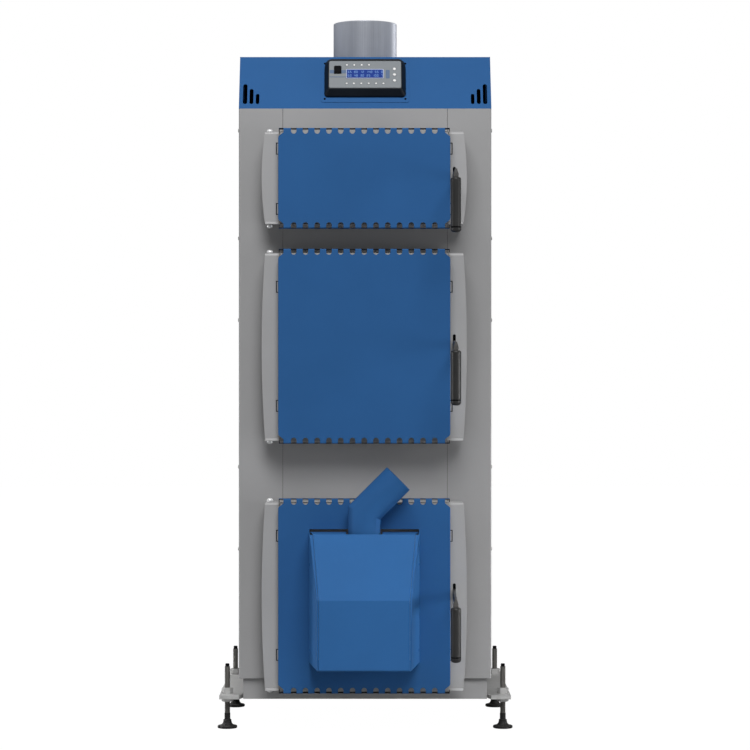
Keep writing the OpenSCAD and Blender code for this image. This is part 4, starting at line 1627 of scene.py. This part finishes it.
@dataclass
class Lever(SubAssembly):
    """A flat lift bar through the tray's slot, with a hanging grip at its front end."""

    level: Level = Level.UPPER
    bar_thickness: float = 5.4 * MM
    edge: float = 0.9 * MM

    def __post_init__(self) -> None:
        """Reads the lever's places from the frame."""
        self.name = self.level.value
        self.body = self.level.lever
        self.handle = Box(f"grip_{self.name}")
        self.top = Vector((*self.handle.mid.xy, self.handle.high.z))

    def build(self) -> None:
        """Makes the bar and the grip."""
        self.bar()
        self.grip()

    def bar(self) -> None:
        """Cuts the bar from thick plate: hook, hub, tapering arm and a rod into the grip."""
        pivot, top = joint_place(f"{self.name}_lever_pivot"), self.top
        slot_y, rod_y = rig.box(f"tray_{self.name}")[0].y - pivot.y, top.y - pivot.y
        hook_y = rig.box(f"lever_{self.name}")[1].y - pivot.y
        hub = 12 * MM
        outline = [
            (slot_y, 13.5 * MM),
            (rod_y + 4 * MM, 8.5 * MM),
            (rod_y - 3 * MM, 7.5 * MM),
            (rod_y - 5.5 * MM, -4 * MM),
            (rod_y - 5.5 * MM, top.z - pivot.z + 0.5 * MM),
            (slot_y - 20 * MM, -8.5 * MM),
            *arc((0.0, 0.0), hub, 225, 300, 8),
            (hook_y, -5 * MM),
            (hook_y, 7 * MM),
            (hook_y - 4 * MM, 7 * MM),
            (hook_y - 4 * MM, 3 * MM),
            *arc((0.0, 0.0), hub, 40, 138, 10),
        ]
        lean = (top.x - pivot.x) / rod_y
        piece = Workpiece(f"lift_bar_{self.name}")
        place = on_edge(pivot.x - self.bar_thickness / 2, pivot.y, pivot.z, lean)
        piece.prism(outline, self.bar_thickness, place, self.edge)
        rod = [(0.0, -38 * MM), (4.4 * MM, -38 * MM), (4.4 * MM, 1.5 * MM), (0.0, 1.5 * MM)]
        piece.lathe(rod, Matrix.Translation(top), 24)
        boss = ((0.3, 6.0, 6.0), (8.0, 5.8, 5.8), (12.0, 4.6, 5.3), (16.0, 3.3, 4.8), (19.5, 2.6, 4.2))
        rings = []
        for rise, half_x, half_y in boss:
            loop = rounded_rectangle((-half_x, -half_y), (half_x, half_y), 1.6, 3)
            rings.append([top + Vector((x, y, rise)) * MM for x, y in loop])
        piece.skin(rings)
        self.finish(piece, "black_oxide", Slot.DARK_STEEL, f"lever_{self.name}")

    def grip(self) -> None:
        """Turns the moulded grip: soft shoulder, parting ring near the end, domed tip; a near-black ring paints the
        groove's shade.
        """
        r, length = self.handle.half.y - 0.15 * MM, 2 * self.handle.half.z
        wide, place = r + 0.15 * MM, Matrix.Translation(self.top)
        soft_in, soft_down, tip = 6.2 * MM, 4.6 * MM, 9.8 * MM
        turn = [math.pi / 2 * k / 10 for k in range(11)]
        shoulder = [(r - soft_in * (1 - math.sin(t)), -soft_down * (1 - math.cos(t))) for t in turn]
        ends = ((r, 14.0), (r - 1.0 * MM, 13.8), (r - 1.0 * MM, 10.8), (wide, 10.6))
        groove = [(x, h * MM - length) for x, h in ends]
        end = [(wide * math.cos(t) ** 0.75, tip * (1 - math.sin(t) ** 0.75) - length) for t in turn[:-1]]
        piece = Workpiece(f"moulded_grip_{self.name}")
        profile = [(4.7 * MM, -30 * MM), (4.7 * MM, 0.0), *shoulder, *groove, *end, (0.0, -length)]
        piece.lathe(profile, place, 56)
        # A near-black ring set in the groove: painted shade of the groove.
        band = ((r * 0.6, 11.0), (r - 0.5 * MM, 11.0), (r - 0.3 * MM, 11.3))
        band += ((r - 0.3 * MM, 13.3), (r - 0.5 * MM, 13.6), (r * 0.6, 13.6))
        bead = Workpiece(f"grip_ring_{self.name}")
        bead.lathe([(x, h * MM - length) for x, h in band], place, 56)
        self.finish(bead, "rocker", Slot.BLACK_PLASTIC)
        self.finish(piece, "bakelite", Slot.BLACK_PLASTIC, f"grip_{self.name}")


@dataclass
class BurnerUnit(SubAssembly):
    """Blue burner cover, pellet inlet with its mitred bend, and the burner's dark body."""

    body: str = Level.LOWER.door
    sheet: float = 1.6 * MM
    fold_radius: float = 2.6 * MM
    front_half: float = 107.4 * MM
    brow_half: float = 126.0 * MM
    brow_depth: float = 82.0 * MM
    front_height: float = 159.0 * MM
    strip: tuple[float, float] = (8.0 * MM, 3.6 * MM)
    notch_half: float = 42.5 * MM
    inlet_wall: float = 1.6 * MM
    segments: int = 96

    def __post_init__(self) -> None:
        """Reads the cover's box and works out its right-hand corners and seams."""
        box = Box("burner_cover")
        low, high = box.low, box.high
        self.middle_x = box.mid.x
        self.rim_low = Vector((box.half.x, high.y, low.z))
        self.rim_high = Vector((box.half.x, high.y, high.z))
        self.brow = Vector((self.brow_half, high.y - self.brow_depth, high.z))
        self.foot = Vector((self.front_half, low.y, low.z))
        self.bend = self.foot + Vector((0.0, 0.0, self.front_height))
        self.brow_seam, self.bend_seam = self.brow_half - self.strip[0], self.front_half - self.strip[1]

    def build(self) -> None:
        """Makes every piece of the burner."""
        self.dress("frame_paint", "burner")
        self.middle_sheet()
        self.side_sheets()
        self.top_plates()
        self.inlet()
        self.screws()

    def middle_sheet(self) -> None:
        """Folds the middle sheet: top with a notch for the pipe, slope, front and bottom."""
        corners = (self.rim_high, self.brow, self.bend, self.foot, self.rim_low)
        path = FoldPath(tuple((c.y, c.z) for c in corners), self.fold_radius)
        top, brow, bend, foot, end = path.stations()
        rim = self.rim_high.x - 3 * MM
        right = [(rim, top), (self.brow_seam, brow), (self.bend_seam, bend), (self.bend_seam, foot)]
        right += [(self.front_half - 2 * MM, foot + 2 * MM), (rim - 6 * MM, end)]
        notch_v = self.rim_high.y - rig.box("pellet_inlet")[0].y + 3 * MM
        notch = rectangle((-self.notch_half, -1 * MM), (self.notch_half, notch_v))
        piece = Workpiece("burner_middle_sheet")
        blank = Blank(mirrored(right), [notch], (), path.creases())
        piece.sheet(blank, lambda u, v: Vector((self.middle_x + u, *path.at(v))), self.sheet)
        # The lighter blue on this sheet is painted light.
        self.finish(piece, "burner_blue", Slot.BLUE_PAINT, "burner_cover")

    def side_sheets(self) -> None:
        """Two side sheets with a narrow strip turned in beside the middle sheet."""
        gap = 0.5 * MM
        seams = ((self.brow, self.brow_seam), (self.bend, self.bend_seam), (self.foot, self.bend_seam))
        points = [self.rim_low, self.rim_high, self.brow, self.bend, self.foot]
        points += [Vector((seam + gap, p.y, p.z)) for p, seam in seams]
        piece = Workpiece("burner_side_sheets")
        for side in Side:
            part = bmesh.new()
            rim_low, rim_high, brow, bend, foot, inner_brow, inner_bend, inner_foot = (
                part.verts.new((self.middle_x + p.x * side.value, p.y, p.z)) for p in points
            )
            for corners in (
                [foot, inner_foot, inner_bend, bend],
                [bend, inner_bend, inner_brow, brow],
                [rim_low, foot, bend, rim_high],
                [rim_high, bend, brow],
            ):
                part.faces.new(corners if side is Side.RIGHT else list(reversed(corners)))
            part.normal_update()
            if min(part.faces, key=lambda f: f.calc_center_median().y).normal.y > 0:
                bmesh.ops.reverse_faces(part, faces=part.faces)
            round_off(part, [e for e in part.edges if len(e.link_faces) == 2], 1.0 * MM, 3, 0.5)
            part.normal_update()
            piece.thicken(part, self.sheet)
        # The lighter blue on these sheets is painted light.
        self.finish(piece, "burner_blue", Slot.BLUE_PAINT)

    def top_plates(self) -> None:
        """Two dark plates beside the pipe, on top of the cover."""
        inner, back, front = self.notch_half + 1 * MM, self.rim_high.y - 2 * MM, self.brow.y + 12 * MM
        brow, rim = self.brow.x - 13 * MM, self.rim_high.x - 10 * MM
        outline = [(inner, front), (brow, front), (rim, back), (inner, back)]
        place = Matrix.Translation((self.middle_x, 0.0, self.rim_high.z))
        piece = Workpiece("burner_top_plates")
        for points in (outline, [(-x, y) for x, y in reversed(outline)]):
            piece.prism(points, 0.8 * MM, place, 0.2 * MM)
        self.finish(piece, "frame_paint", Slot.FRAME_STEEL)

    def inlet(self) -> None:
        """Makes the mitred pipe with a real wall."""
        box = Box("pellet_inlet")
        r, axis_y = box.half.y, box.mid.y
        reach = r * math.sqrt(0.5)
        mouth = Vector((box.high.x - reach, axis_y, box.high.z - reach))
        bend = Vector((self.middle_x, axis_y, mouth.z - mouth.x + self.middle_x))
        foot = Vector((self.middle_x, axis_y, box.low.z))
        slope, tilt = math.tan(math.radians(22.5)), math.sqrt(0.5)

        def rings(radius: float) -> list[list[Vector]]:
            """Makes rings of the pipe at its foot, on the mitre and at its mouth.

            Args:
                radius: The pipe's radius.

            Returns:
                The three rings.
            """
            spots = [p.xy for p in circle(radius, 0.0, self.segments)]
            return [
                [foot + Vector((x, y, 0.0)) for x, y in spots],
                [bend + Vector((x, y, -x * slope)) for x, y in spots],
                [mouth + Vector((x * tilt, y, -x * tilt)) for x, y in spots],
            ]

        pipe = Workpiece("pellet_inlet_pipe")
        outer = rings(r)
        pipe.skin([*outer, *reversed(rings(r - self.inlet_wall)), outer[0]], cap_ends=False)
        self.finish(pipe, "blue", Slot.BLUE_PAINT, "pellet_inlet")

    def screws(self) -> None:
        """Two screws on each side of the cover, near its rim."""
        along = (self.foot - self.rim_low).normalized()
        first = self.rim_low + along * 16 * MM
        piece = Workpiece("burner_cover_screws")
        for side in Side:
            x = self.middle_x + first.x * side.value
            spots = [Vector((x, first.y, first.z + rise)) for rise in (30 * MM, 230 * MM)]
            out = Vector((-along.y * side.value, along.x, 0.0))
            ScrewHead(3.4 * MM, 1.6 * MM, 1.2 * MM).cut(piece, spots, out)
        # The lighter blue on these screws is painted light.
        self.finish(piece, "burner_blue", Slot.BLUE_PAINT)


@dataclass
class Casing(SubAssembly):
    """Grey outer sheets, plinth, rails and their screws."""

    sheet: float = 2.0 * MM
    fold_radius: float = 4.0 * MM
    screw_drops: tuple[float, ...] = (51.0, 307.4, 502.0, 851.0, 1046.0)

    def build(self) -> None:
        """Makes the casing's pieces."""
        for side in Side:
            self.side_sheet(side)
        self.dress("casing", "front_panel", "casing_back", "plinth")
        self.dress("zinc", "rail_left", "rail_right")
        self.side_screws()
        self.back_screws()

    def side_sheet(self, side: Side) -> None:
        """Folds one side sheet: front strip, rounded corner, long side.

        Args:
            side: Which side of the boiler.
        """
        low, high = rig.box(f"casing_{side.word}")
        inner, outer = sorted((abs(low.x), abs(high.x)))
        path = FoldPath(((inner, low.y), (outer, low.y), (outer, high.y)), self.fold_radius)

        def place(u: float, v: float) -> Vector:
            """Bends the sheet round the front corner, and mirrors it for the left side."""
            p = path.at(u)
            return Vector((p.x * side.value, p.y, v))

        piece = Workpiece(f"casing_sheet_{side.word}")
        outline = rectangle((0.0, low.z), (path.stations()[-1], high.z))
        piece.sheet(Blank(outline, [], path.creases()), place, self.sheet * side.value)
        self.finish(piece, "casing", Slot.GREY_CASING, f"casing_{side.word}")

    def side_screws(self) -> None:
        """A row of pan-head screws near the front of each side and another near its back."""
        low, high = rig.box("casing_right")
        piece = Workpiece("casing_side_screws")
        heights = [high.z - drop * MM for drop in self.screw_drops]
        for side in Side:
            x = high.x * side.value
            spots = [Vector((x, y, z)) for z in heights for y in (low.y + 16 * MM, high.y - 18 * MM)]
            ScrewHead().cut(piece, spots, Vector((side.value, 0, 0)))
        self.finish(piece, "zinc", Slot.ZINC_STEEL)

    def back_screws(self) -> None:
        """Screws round the edge of the back panel."""
        low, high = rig.box("casing_back")
        inset, reach, count = 14 * MM, 100 * MM, 6
        rise = high.z - low.z - 2 * inset
        heights = [low.z + inset + rise * k / (count - 1) for k in range(count)]
        spots = [Vector((x, high.y, z)) for x in (low.x + inset, high.x - inset) for z in heights]
        spots += [Vector((x, high.y, z)) for z in (low.z + inset, high.z - inset) for x in (-reach, reach)]
        piece = Workpiece("casing_back_screws")
        ScrewHead().cut(piece, spots, OUT_BACK)
        self.finish(piece, "zinc", Slot.ZINC_STEEL)


@dataclass
class Hood(SubAssembly):
    """Sloped blue hood with its vents, and the flue spigot that rises through it."""

    sheet: float = 2.0 * MM
    fold_radius: float = 4.0 * MM
    setback: float = 67.0 * MM
    vents: tuple[tuple[float, float, float], ...] = (
        (255.9, 25.5, 8.3),
        (270.4, 38.0, 9.1),
        (285.6, 50.0, 10.3),
    )
    vent_foot: float = 11.5 * MM
    side_vents: int = 6
    side_vent: Point = (8.0 * MM, 56.0 * MM)
    side_row: Point = (150.0 * MM, 22.0 * MM)

    def __post_init__(self) -> None:
        """Reads the hood's and the flue's places from the frame."""
        self.box, self.flue = Box("hood"), Box("flue_spigot")
        start, pitch = self.side_row
        self.vent_rows = [self.box.low.y + start + pitch * k for k in range(self.side_vents)]

    def build(self) -> None:
        """Makes the hood's pieces."""
        self.wrap()
        self.cheeks()
        self.baffles()
        self.screws()
        self.spigot()

    def wrap(self) -> None:
        """Folds front, top and back from one blank, with the vents and the flue hole."""
        low, high = self.box.low, self.box.high
        corners = ((low.y, low.z), (low.y + self.setback, high.z), (high.y, high.z), (high.y, low.z))
        path = FoldPath(corners, self.fold_radius)
        stations = path.stations()
        half, slope = high.x - self.sheet, stations[1] / (high.z - low.z)
        holes = []
        for x, height, width in self.vents:
            middle = (self.vent_foot + height * MM / 2) * slope
            holes += [obround((side * x * MM, middle), width * MM, height * MM * slope) for side in (-1, 1)]
        flue_v = stations[1] + self.flue.mid.y - corners[1][0]
        holes.append(arc((0.0, flue_v), self.flue.half.x + 2 * MM, 0, 356, 89))
        blank = Blank(rectangle((-half, 0.0), (half, stations[-1])), holes, (), path.creases())
        piece = Workpiece("hood_wrap")
        piece.sheet(blank, lambda u, v: Vector((u, *path.at(v))), self.sheet)
        self.finish(piece, "blue", Slot.BLUE_PAINT, "hood")

    def cheeks(self) -> None:
        """Two side plates that close the hood, each with a small row of vents."""
        low, high = self.box.low, self.box.high
        outline = [(low.y, low.z), (high.y, low.z), (high.y, high.z), (low.y + self.setback, high.z)]
        blank = Blank(outline, [obround((y, self.box.mid.z), *self.side_vent) for y in self.vent_rows])
        piece = Workpiece("hood_cheeks")
        for side in Side:
            x = high.x * side.value
            piece.sheet(blank, lambda u, v, x=x: Vector((x, u, v)), self.sheet * side.value)
        self.finish(piece, "blue", Slot.BLUE_PAINT)

    def baffles(self) -> None:
        """Two near-black plates behind the side vents, which close the view through the hood: painted shade of its
        inside.
        """
        margin, gap, half = 20 * MM, 16 * MM, 1 * MM
        middle, rise = self.box.mid.z, self.side_vent[1] / 2 + margin / 2
        piece = Workpiece("hood_baffles")
        for side in Side:
            x = (self.box.high.x - gap) * side.value
            low = Vector((x - half, self.vent_rows[0] - margin, middle - rise))
            piece.block(low, Vector((x + half, self.vent_rows[-1] + margin, middle + rise)), 0.5 * MM)
        self.finish(piece, "primer", Slot.FRAME_STEEL)

    def screws(self) -> None:
        """Screws along the foot of each cheek."""
        low, high, inset, second = self.box.low, self.box.high, 50 * MM, 260 * MM
        piece = Workpiece("hood_screws")
        for side in Side:
            x, z = high.x * side.value, low.z + 9 * MM
            spots = [Vector((x, y, z)) for y in (low.y + inset, low.y + second, high.y - inset)]
            ScrewHead().cut(piece, spots, Vector((side.value, 0, 0)))
        self.finish(piece, "zinc", Slot.ZINC_STEEL)

    def spigot(self) -> None:
        """Flue spigot with a rolled rim and a lock seam, and the collar at its foot."""
        r, foot, top = self.flue.half.y, self.flue.low.z, self.flue.high.z
        hood_top = self.box.high.z
        axis = Vector((*self.flue.mid.xy, 0.0))
        rim, wall, floor = 2.2 * MM, 3.0 * MM, foot + 12 * MM
        profile = [(r - wall, floor), (r - wall, top - rim)]
        for t in (math.pi * k / 8 for k in range(1, 8)):
            profile.append((r - wall / 2 - wall / 2 * math.cos(t), top - rim + rim * math.sin(t)))
        profile += [(r, top - rim), (r, foot), (0.0, foot), (0.0, floor), (r - wall, floor)]
        pipe = Workpiece("flue_pipe")
        pipe.lathe(profile, Matrix.Translation(axis), 128)
        self.finish(pipe, "galvanised", Slot.GALVANISED, "flue_spigot")
        seam = Workpiece("flue_seam")
        low = axis + Vector((-4 * MM, r - 1.2 * MM, hood_top + 1 * MM))
        seam.block(low, axis + Vector((4 * MM, r - 0.1 * MM, top - 3 * MM)), 0.4 * MM)
        self.finish(seam, "galvanised", Slot.GALVANISED)
        collar = Workpiece("flue_collar")
        flare = ((0.4, 0.0), (17, 0.0), (17, 1.2), (3.5, 1.6), (1.6, 3.2), (1.4, 13), (0.4, 13), (0.4, 0.0))
        place = Matrix.Translation(axis + Vector((0, 0, hood_top + 0.2 * MM)))
        collar.lathe([(r + out * MM, h * MM) for out, h in flare], place, 96)
        self.finish(collar, "blue", Slot.BLUE_PAINT)


@dataclass
class Controller(SubAssembly):
    """Controller on the hood's slope: plate, bevelled housing, face, display and keys."""

    setback: float = 67.0 * MM
    top: float = 21.7
    digit_pitch: float = 4.95

    def __post_init__(self) -> None:
        """Works out the slope's placement: local X right, Y up the slope, Z out of it."""
        low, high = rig.box("hood")
        up = Vector((0.0, self.setback, high.z - low.z)).normalized()
        right = Vector((1.0, 0.0, 0.0))
        turn = Matrix((right, up, right.cross(up))).transposed()
        self.slope = Matrix.Translation((0.0, low.y, low.z)) @ turn.to_4x4()

    def build(self) -> None:
        """Makes the controller's pieces."""
        self.plate()
        self.housing()
        self.face()
        self.display()
        self.switch()
        self.keys()
        self.prints()
        self.plate_screws()

    def _at(self, x: float, v: float, w: float) -> Matrix:
        """A placement on the slope, in millimetres: right, up the slope and out of it."""
        return self.slope @ Matrix.Translation((x * MM, v * MM, w * MM))

    def _slab(
        self,
        piece: Workpiece,
        outline: Sequence[Point],
        w: float,
        thick: float,
        bevel: float = 0.0,
    ) -> None:
        """Adds a slab parallel to the slope; its outline is in millimetres."""
        scaled = [(x * MM, v * MM) for x, v in outline]
        piece.prism(scaled, thick * MM, self._at(0, 0, w), bevel * MM, 3)

    def plate(self) -> None:
        """The blue mounting plate, with rounded corners."""
        piece = Workpiece("controller_mount_plate")
        self._slab(piece, rounded_rectangle((-105, 17), (105, 143), 5), 0, 1.3, 0.4)
        self.finish(piece, "blue", Slot.BLUE_PAINT, "controller_plate")

    def housing(self) -> None:
        """The black housing: a loft that is widest at its foot, with sloping upper shoulders."""
        stages = (
            (2.0, 97.0, 31.0, 137.0, 9.0, (19.0, 30.0)),
            (6.0, 97.0, 31.0, 137.0, 9.0, (19.0, 30.0)),
            (7.5, 96.2, 31.8, 136.2, 9.0, (18.5, 29.0)),
            (17.6, 89.2, 40.2, 123.4, 7.5, (8.5, 10.0)),
            (19.6, 88.2, 41.4, 122.2, 6.5, (6.5, 6.5)),
            (20.5, 87.0, 42.6, 121.0, 6.0, (6.0, 6.0)),
        )
        rings = []
        for w, half, low_v, high_v, corner, (slope_w, slope_h) in stages:
            right = arc((half - corner, low_v + corner), corner, -90, 0, 8)
            for t in (math.pi / 2 * k / 10 for k in range(11)):
                x = half - slope_w * (1 - math.cos(t) ** 0.85)
                right.append((x, high_v - slope_h * (1 - math.sin(t) ** 0.85)))
            rings.append([self._at(x, v, w).translation for x, v in mirrored(right)])
        piece = Workpiece("controller_case")
        piece.skin(rings)
        self.finish(piece, "bezel", Slot.BLACK_PLASTIC, "controller_housing")

    def face(self) -> None:
        """The light grey face plate."""
        piece = Workpiece("controller_face_plate")
        self._slab(piece, rounded_rectangle((-85.6, 44.7), (85.6, 120.5), 4), 20.1, 1.7, 0.5)
        self.finish(piece, "face_grey", Slot.GREY_PLASTIC, "controller_face")

    def display(self) -> None:
        """Display with a pale frame, a blue window and two rows of plain digits."""
        rim = Workpiece("display_rim")
        self._slab(rim, rounded_rectangle((-45.5, 70.5), (44.5, 97.5), 2.5), self.top, 0.9, 0.35)
        self.finish(rim, "bezel_blue", Slot.GREY_PLASTIC)
        glass = Workpiece("display_window")
        self._slab(glass, rounded_rectangle((-43.5, 72.5), (42.6, 95.4), 1.5), self.top + 0.6, 0.7, 0.25)
        self.finish(glass, "display", Slot.GREY_PLASTIC)
        digits = Workpiece("display_digits")
        for row, words in enumerate(("65 80 12 140 55 0", "60 48 30 25 100 7")):
            self._digits(digits, words, -41.0, 85.8 - 10.4 * row)
        self.finish(digits, "digits", Slot.GREY_PLASTIC)

    def _digits(self, piece: Workpiece, words: str, x: float, v: float) -> None:
        """Adds plain seven-bar digits.

        Args:
            piece: The workpiece that takes them.
            words: Digits and spaces.
            x: Where the row starts, in millimetres.
            v: Height of the digits' foot up the slope, in millimetres.
        """
        bars = {
            "a": ((0.6, 5.2), (2.9, 6.1)),
            "b": ((2.7, 3.2), (3.5, 5.6)),
            "c": ((2.7, 0.4), (3.5, 2.8)),
            "d": ((0.6, -0.1), (2.9, 0.7)),
            "e": ((0.0, 0.4), (0.8, 2.8)),
            "f": ((0.0, 3.2), (0.8, 5.6)),
            "g": ((0.6, 2.6), (2.9, 3.4)),
        }
        lit = ("abcdef", "bc", "abged", "abgcd", "fgbc", "afgcd", "afgedc", "abc", "abcdefg", "abcdfg")
        for k, sign in enumerate(words):
            start = x + self.digit_pitch * k
            for bar in lit[int(sign)] if sign.isdigit() else "":
                (x0, v0), (x1, v1) = bars[bar]
                outline = rectangle((start + x0, v + v0), (start + x1, v + v1))
                self._slab(piece, outline, self.top + 1.25, 0.25)

    def switch(self) -> None:
        """Mains switch: a raised frame with a rocker that is pressed at its top."""
        piece = Workpiece("rocker_switch")
        self._slab(piece, rounded_rectangle((-74.0, 84.3), (-56.4, 105.0), 0.8), self.top, 1.6, 0.4)
        sweep = [(-9.4, 0.0), (-9.4, 1.2), (-4.0, 1.0), (0.0, 1.4), (5.0, 2.8), (9.4, 4.2), (9.4, 0.0)]
        place = self._at(-72.2, 94.6, self.top + 1.3) @ on_edge(0.0, 0.0, 0.0)
        piece.prism([(y * MM, z * MM) for y, z in sweep], 14 * MM, place, 0.35 * MM)
        self.finish(piece, "rocker", Slot.BLACK_PLASTIC)

    def keys(self) -> None:
        """Small round keys above and below the display, and three larger ones on the right."""
        small = [(-43.5 + 17.6 * k, 109.2) for k in range(4)] + [(-44.0 + 17.5 * k, 56.8) for k in range(6)]
        large = [(69.9, v) for v in (65.2, 82.0, 98.0)]
        caps, rims = Workpiece("round_keys"), Workpiece("key_rims")
        for spots, size in ((small, 2.3), (large, 3.6)):
            rim = washer(size + 0.2, size + 0.9, 0.5, 0.15)
            for piece, profile in ((caps, dome(size, 1.2, 0.4)), (rims, rim)):
                for x, v in spots:
                    piece.lathe([(r * MM, h * MM) for r, h in profile], self._at(x, v, self.top), 28)
        self.finish(caps, "button_white", Slot.GREY_PLASTIC)
        self.finish(rims, "face_grey", Slot.GREY_PLASTIC)

    def prints(self) -> None:
        """Plain coloured fields and lines round the display; they carry no words."""
        piece = Workpiece("face_fields")
        for low, high in (
            ((-84.5, 85.4), (-74.0, 94.8)),
            ((-56.4, 85.4), (-45.5, 94.8)),
            ((-84.5, 74.3), (-45.5, 76.3)),
        ):
            self._slab(piece, rectangle(low, high), self.top, 0.25)
        self._slab(piece, rounded_rectangle((49.0, 71.0), (58.6, 95.0), 2.0), self.top, 0.3, 0.1)
        self.finish(piece, "print_blue", Slot.GREY_PLASTIC)

    def plate_screws(self) -> None:
        """Four screws at the mounting plate's corners."""
        piece = Workpiece("controller_screws")
        spots = [self._at(x, v, 1.3).translation for x in (-96.0, 96.0) for v in (26.5, 127.0)]
        ScrewHead(2.6 * MM, 1.6 * MM, 1.1 * MM).cut(piece, spots, self.slope.col[2].xyz)
        self.finish(piece, "rocker", Slot.DARK_STEEL)


@dataclass
class Feet(SubAssembly):
    """Four levelling feet: rubber pads, threaded studs and pairs of nuts."""

    stud_radius: float = 6.5 * MM
    thread_depth: float = 0.55 * MM
    thread_pitch: float = 1.8 * MM
    thread_sides: int = 20

    def build(self) -> None:
        """Makes every foot."""
        for end in ("front", "rear"):
            for side in Side:
                self.foot(f"{end}_{side.word}")

    def foot(self, name: str) -> None:
        """Makes one foot's pad, stud and nuts.

        Args:
            name: Which foot, such as front_left.
        """
        box, rail = Box(f"foot_{name}"), Box("rail_left")
        centre = Matrix.Translation((*box.mid.xy, 0.0))
        r, top = box.half.x, box.high.z
        rim = 1.2 * MM
        profile = [(0.0, 0.0), (r - rim, 0.0), (r, rim), (r, 4.8 * MM), (r - rim, 6 * MM)]
        neck = ((14, 8.2), (11, 12), (9.8, 16), (9.5, 20), (7.4, 21), (7, 23), (7, 35.6), (6.4, 36), (0, 36))
        pad = Workpiece(f"foot_pad_{name}")
        pad.lathe(profile + [(x * MM, h * MM) for x, h in neck], centre, 56)
        self.finish(pad, "rubber", Slot.BLACK_PLASTIC, f"foot_{name}")
        stud = Workpiece(f"foot_stud_{name}")
        stud.skin([[centre @ p for p in points] for points in self._thread(35 * MM, top - 7 * MM)])
        self.finish(stud, "stud", Slot.DARK_STEEL)
        tip = Workpiece(f"foot_stud_tip_{name}")
        turned = ((0.0, 8.0), (4.9, 8.0), (4.9, 1.0), (4.2, 0.0), (0.0, 0.0))
        tip.lathe([(x * MM, top - drop * MM) for x, drop in turned], centre, 32)
        self.finish(tip, "rocker", Slot.DARK_STEEL)
        nuts = Workpiece(f"foot_nuts_{name}")
        for height, z in ((14 * MM, rail.high.z), (10 * MM, rail.low.z - 10 * MM)):
            HexNut(24 * MM, height, 6.4 * MM).cut(nuts, centre @ Matrix.Translation((0, 0, z)))
        self.finish(nuts, "zinc", Slot.ZINC_STEEL)

    def _thread(self, start: float, end: float) -> list[list[Vector]]:
        """A stud's thread as a stack of slightly tilted rings.

        Args:
            start: Height of the thread's lower end.
            end: Height of its upper end.

        Returns:
            The rings, lowest first.
        """
        rings = []
        steps = int((end - start) / (self.thread_pitch / 2))
        for k in range(steps + 1):
            r = self.stud_radius - (self.thread_depth if k % 2 else 0.0)
            points = circle(r, start + (end - start) * k / steps, self.thread_sides)
            for j, p in enumerate(points if 0 < k < steps else ()):
                p.z += self.thread_pitch * 0.5 * (j / self.thread_sides - 0.5)
            rings.append(points)
        return rings


@dataclass
class Interior(SubAssembly):
    """Water jacket, decks, door frames and pipe stubs, with their welds."""

    weld_radius: float = 2.2 * MM
    weld_inset: float = 18.8 * MM
    weld_step: float = 12 * MM

    def build(self) -> None:
        """Dresses the welded body and adds its beads and threads."""
        self.dress("boiler_plate", *(f"jacket_{place}" for place in ("left", "right", "back")))
        self.dress("boiler_plate", *(f"deck_{place}" for place in ("base", "lower", "upper", "top")))
        for level in Level:
            self.dress("frame_paint", f"door_frame_{level.value}")
            self.frame_weld(level)
        self.stubs()

    def frame_weld(self, level: Level) -> None:
        """A weld bead round the inside of a door frame, where it meets the jacket.

        Args:
            level: Which door's frame.
        """
        plug = Box(f"plug_{level.value}")
        half, rise = plug.high.x - self.weld_inset, plug.half.z - self.weld_inset
        seam_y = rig.box("jacket_left")[0].y
        loop = rectangle((-half, -rise), (half, rise))
        path = []
        for start, end in zip(loop, [*loop[1:], loop[0]]):
            count = max(2, int(math.dist(start, end) / self.weld_step))
            for spot in (Vector(start).lerp(Vector(end), k / count) for k in range(count)):
                path.append(Vector((spot.x, seam_y, plug.mid.z + spot.y)))
        piece = Workpiece(f"frame_weld_{level.value}")
        piece.tube(path, self.weld_radius, 8)
        self.finish(piece, "frame_paint", Slot.FRAME_STEEL)

    def stubs(self) -> None:
        """Threaded water stubs on the back, each with a sheet rosette."""
        low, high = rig.box("water_stubs")
        r, length = (high.x - low.x) / 2, high.y - low.y
        back_y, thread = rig.box("casing_back")[1].y, length - 20 * MM
        inner, floor = r - 3 * MM, 8 * MM
        profile = [(0.0, 0.0), (r, 0.0), (r, thread)]
        for h in (thread + 2 * MM * k for k in range(9)):
            profile += [(r - 1.2 * MM, h + 0.4 * MM), (r - 0.05 * MM, h + 1.4 * MM)]
        profile += [(r - 1.4 * MM, length - 0.8 * MM), (r - 2 * MM, length), (inner, length), (inner, floor)]
        pipes, rosettes = Workpiece("water_stub_pipes"), Workpiece("stub_rosettes")
        for z in (low.z + r, high.z - r):
            pipes.lathe([*profile, (0.0, floor)], aim(Vector((0.0, low.y, z)), OUT_BACK), 56)
            place = aim(Vector((0.0, back_y, z)), OUT_BACK)
            rosettes.lathe(washer(r + 0.5 * MM, r + 16 * MM, 1.6 * MM, 0.6 * MM), place, 64)
        self.finish(pipes, "boiler_plate", Slot.BOILER_STEEL, "water_stubs")
        self.finish(rosettes, "casing", Slot.GREY_CASING)


def keep_sizes() -> None:
    """Writes the CAD box and the dressed object's box for comparison."""
    sizes = {
        "cad": [list(corner) for corner in cad_bounds],
        "visual": [list(corner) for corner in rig.bounds()],
    }
    with open(SIZE_FILE, "w", encoding="utf-8") as file:
        json.dump(sizes, file, indent=1)


def main() -> None:
    """Builds the studio, the finishes and every sub-assembly in order."""
    logging.basicConfig(level=logging.INFO, format="%(name)s %(message)s")
    Studio().build()
    palette = Palette(Effects())
    Casing(palette).build()
    Interior(palette).build()
    Hood(palette).build()
    Controller(palette).build()
    for level in Level:
        Door(palette, level=level).build()
        Lever(palette, level=level).build()
    BurnerUnit(palette).build()
    Feet(palette).build()
    keep_sizes()


if __name__ == "__main__":
    main()
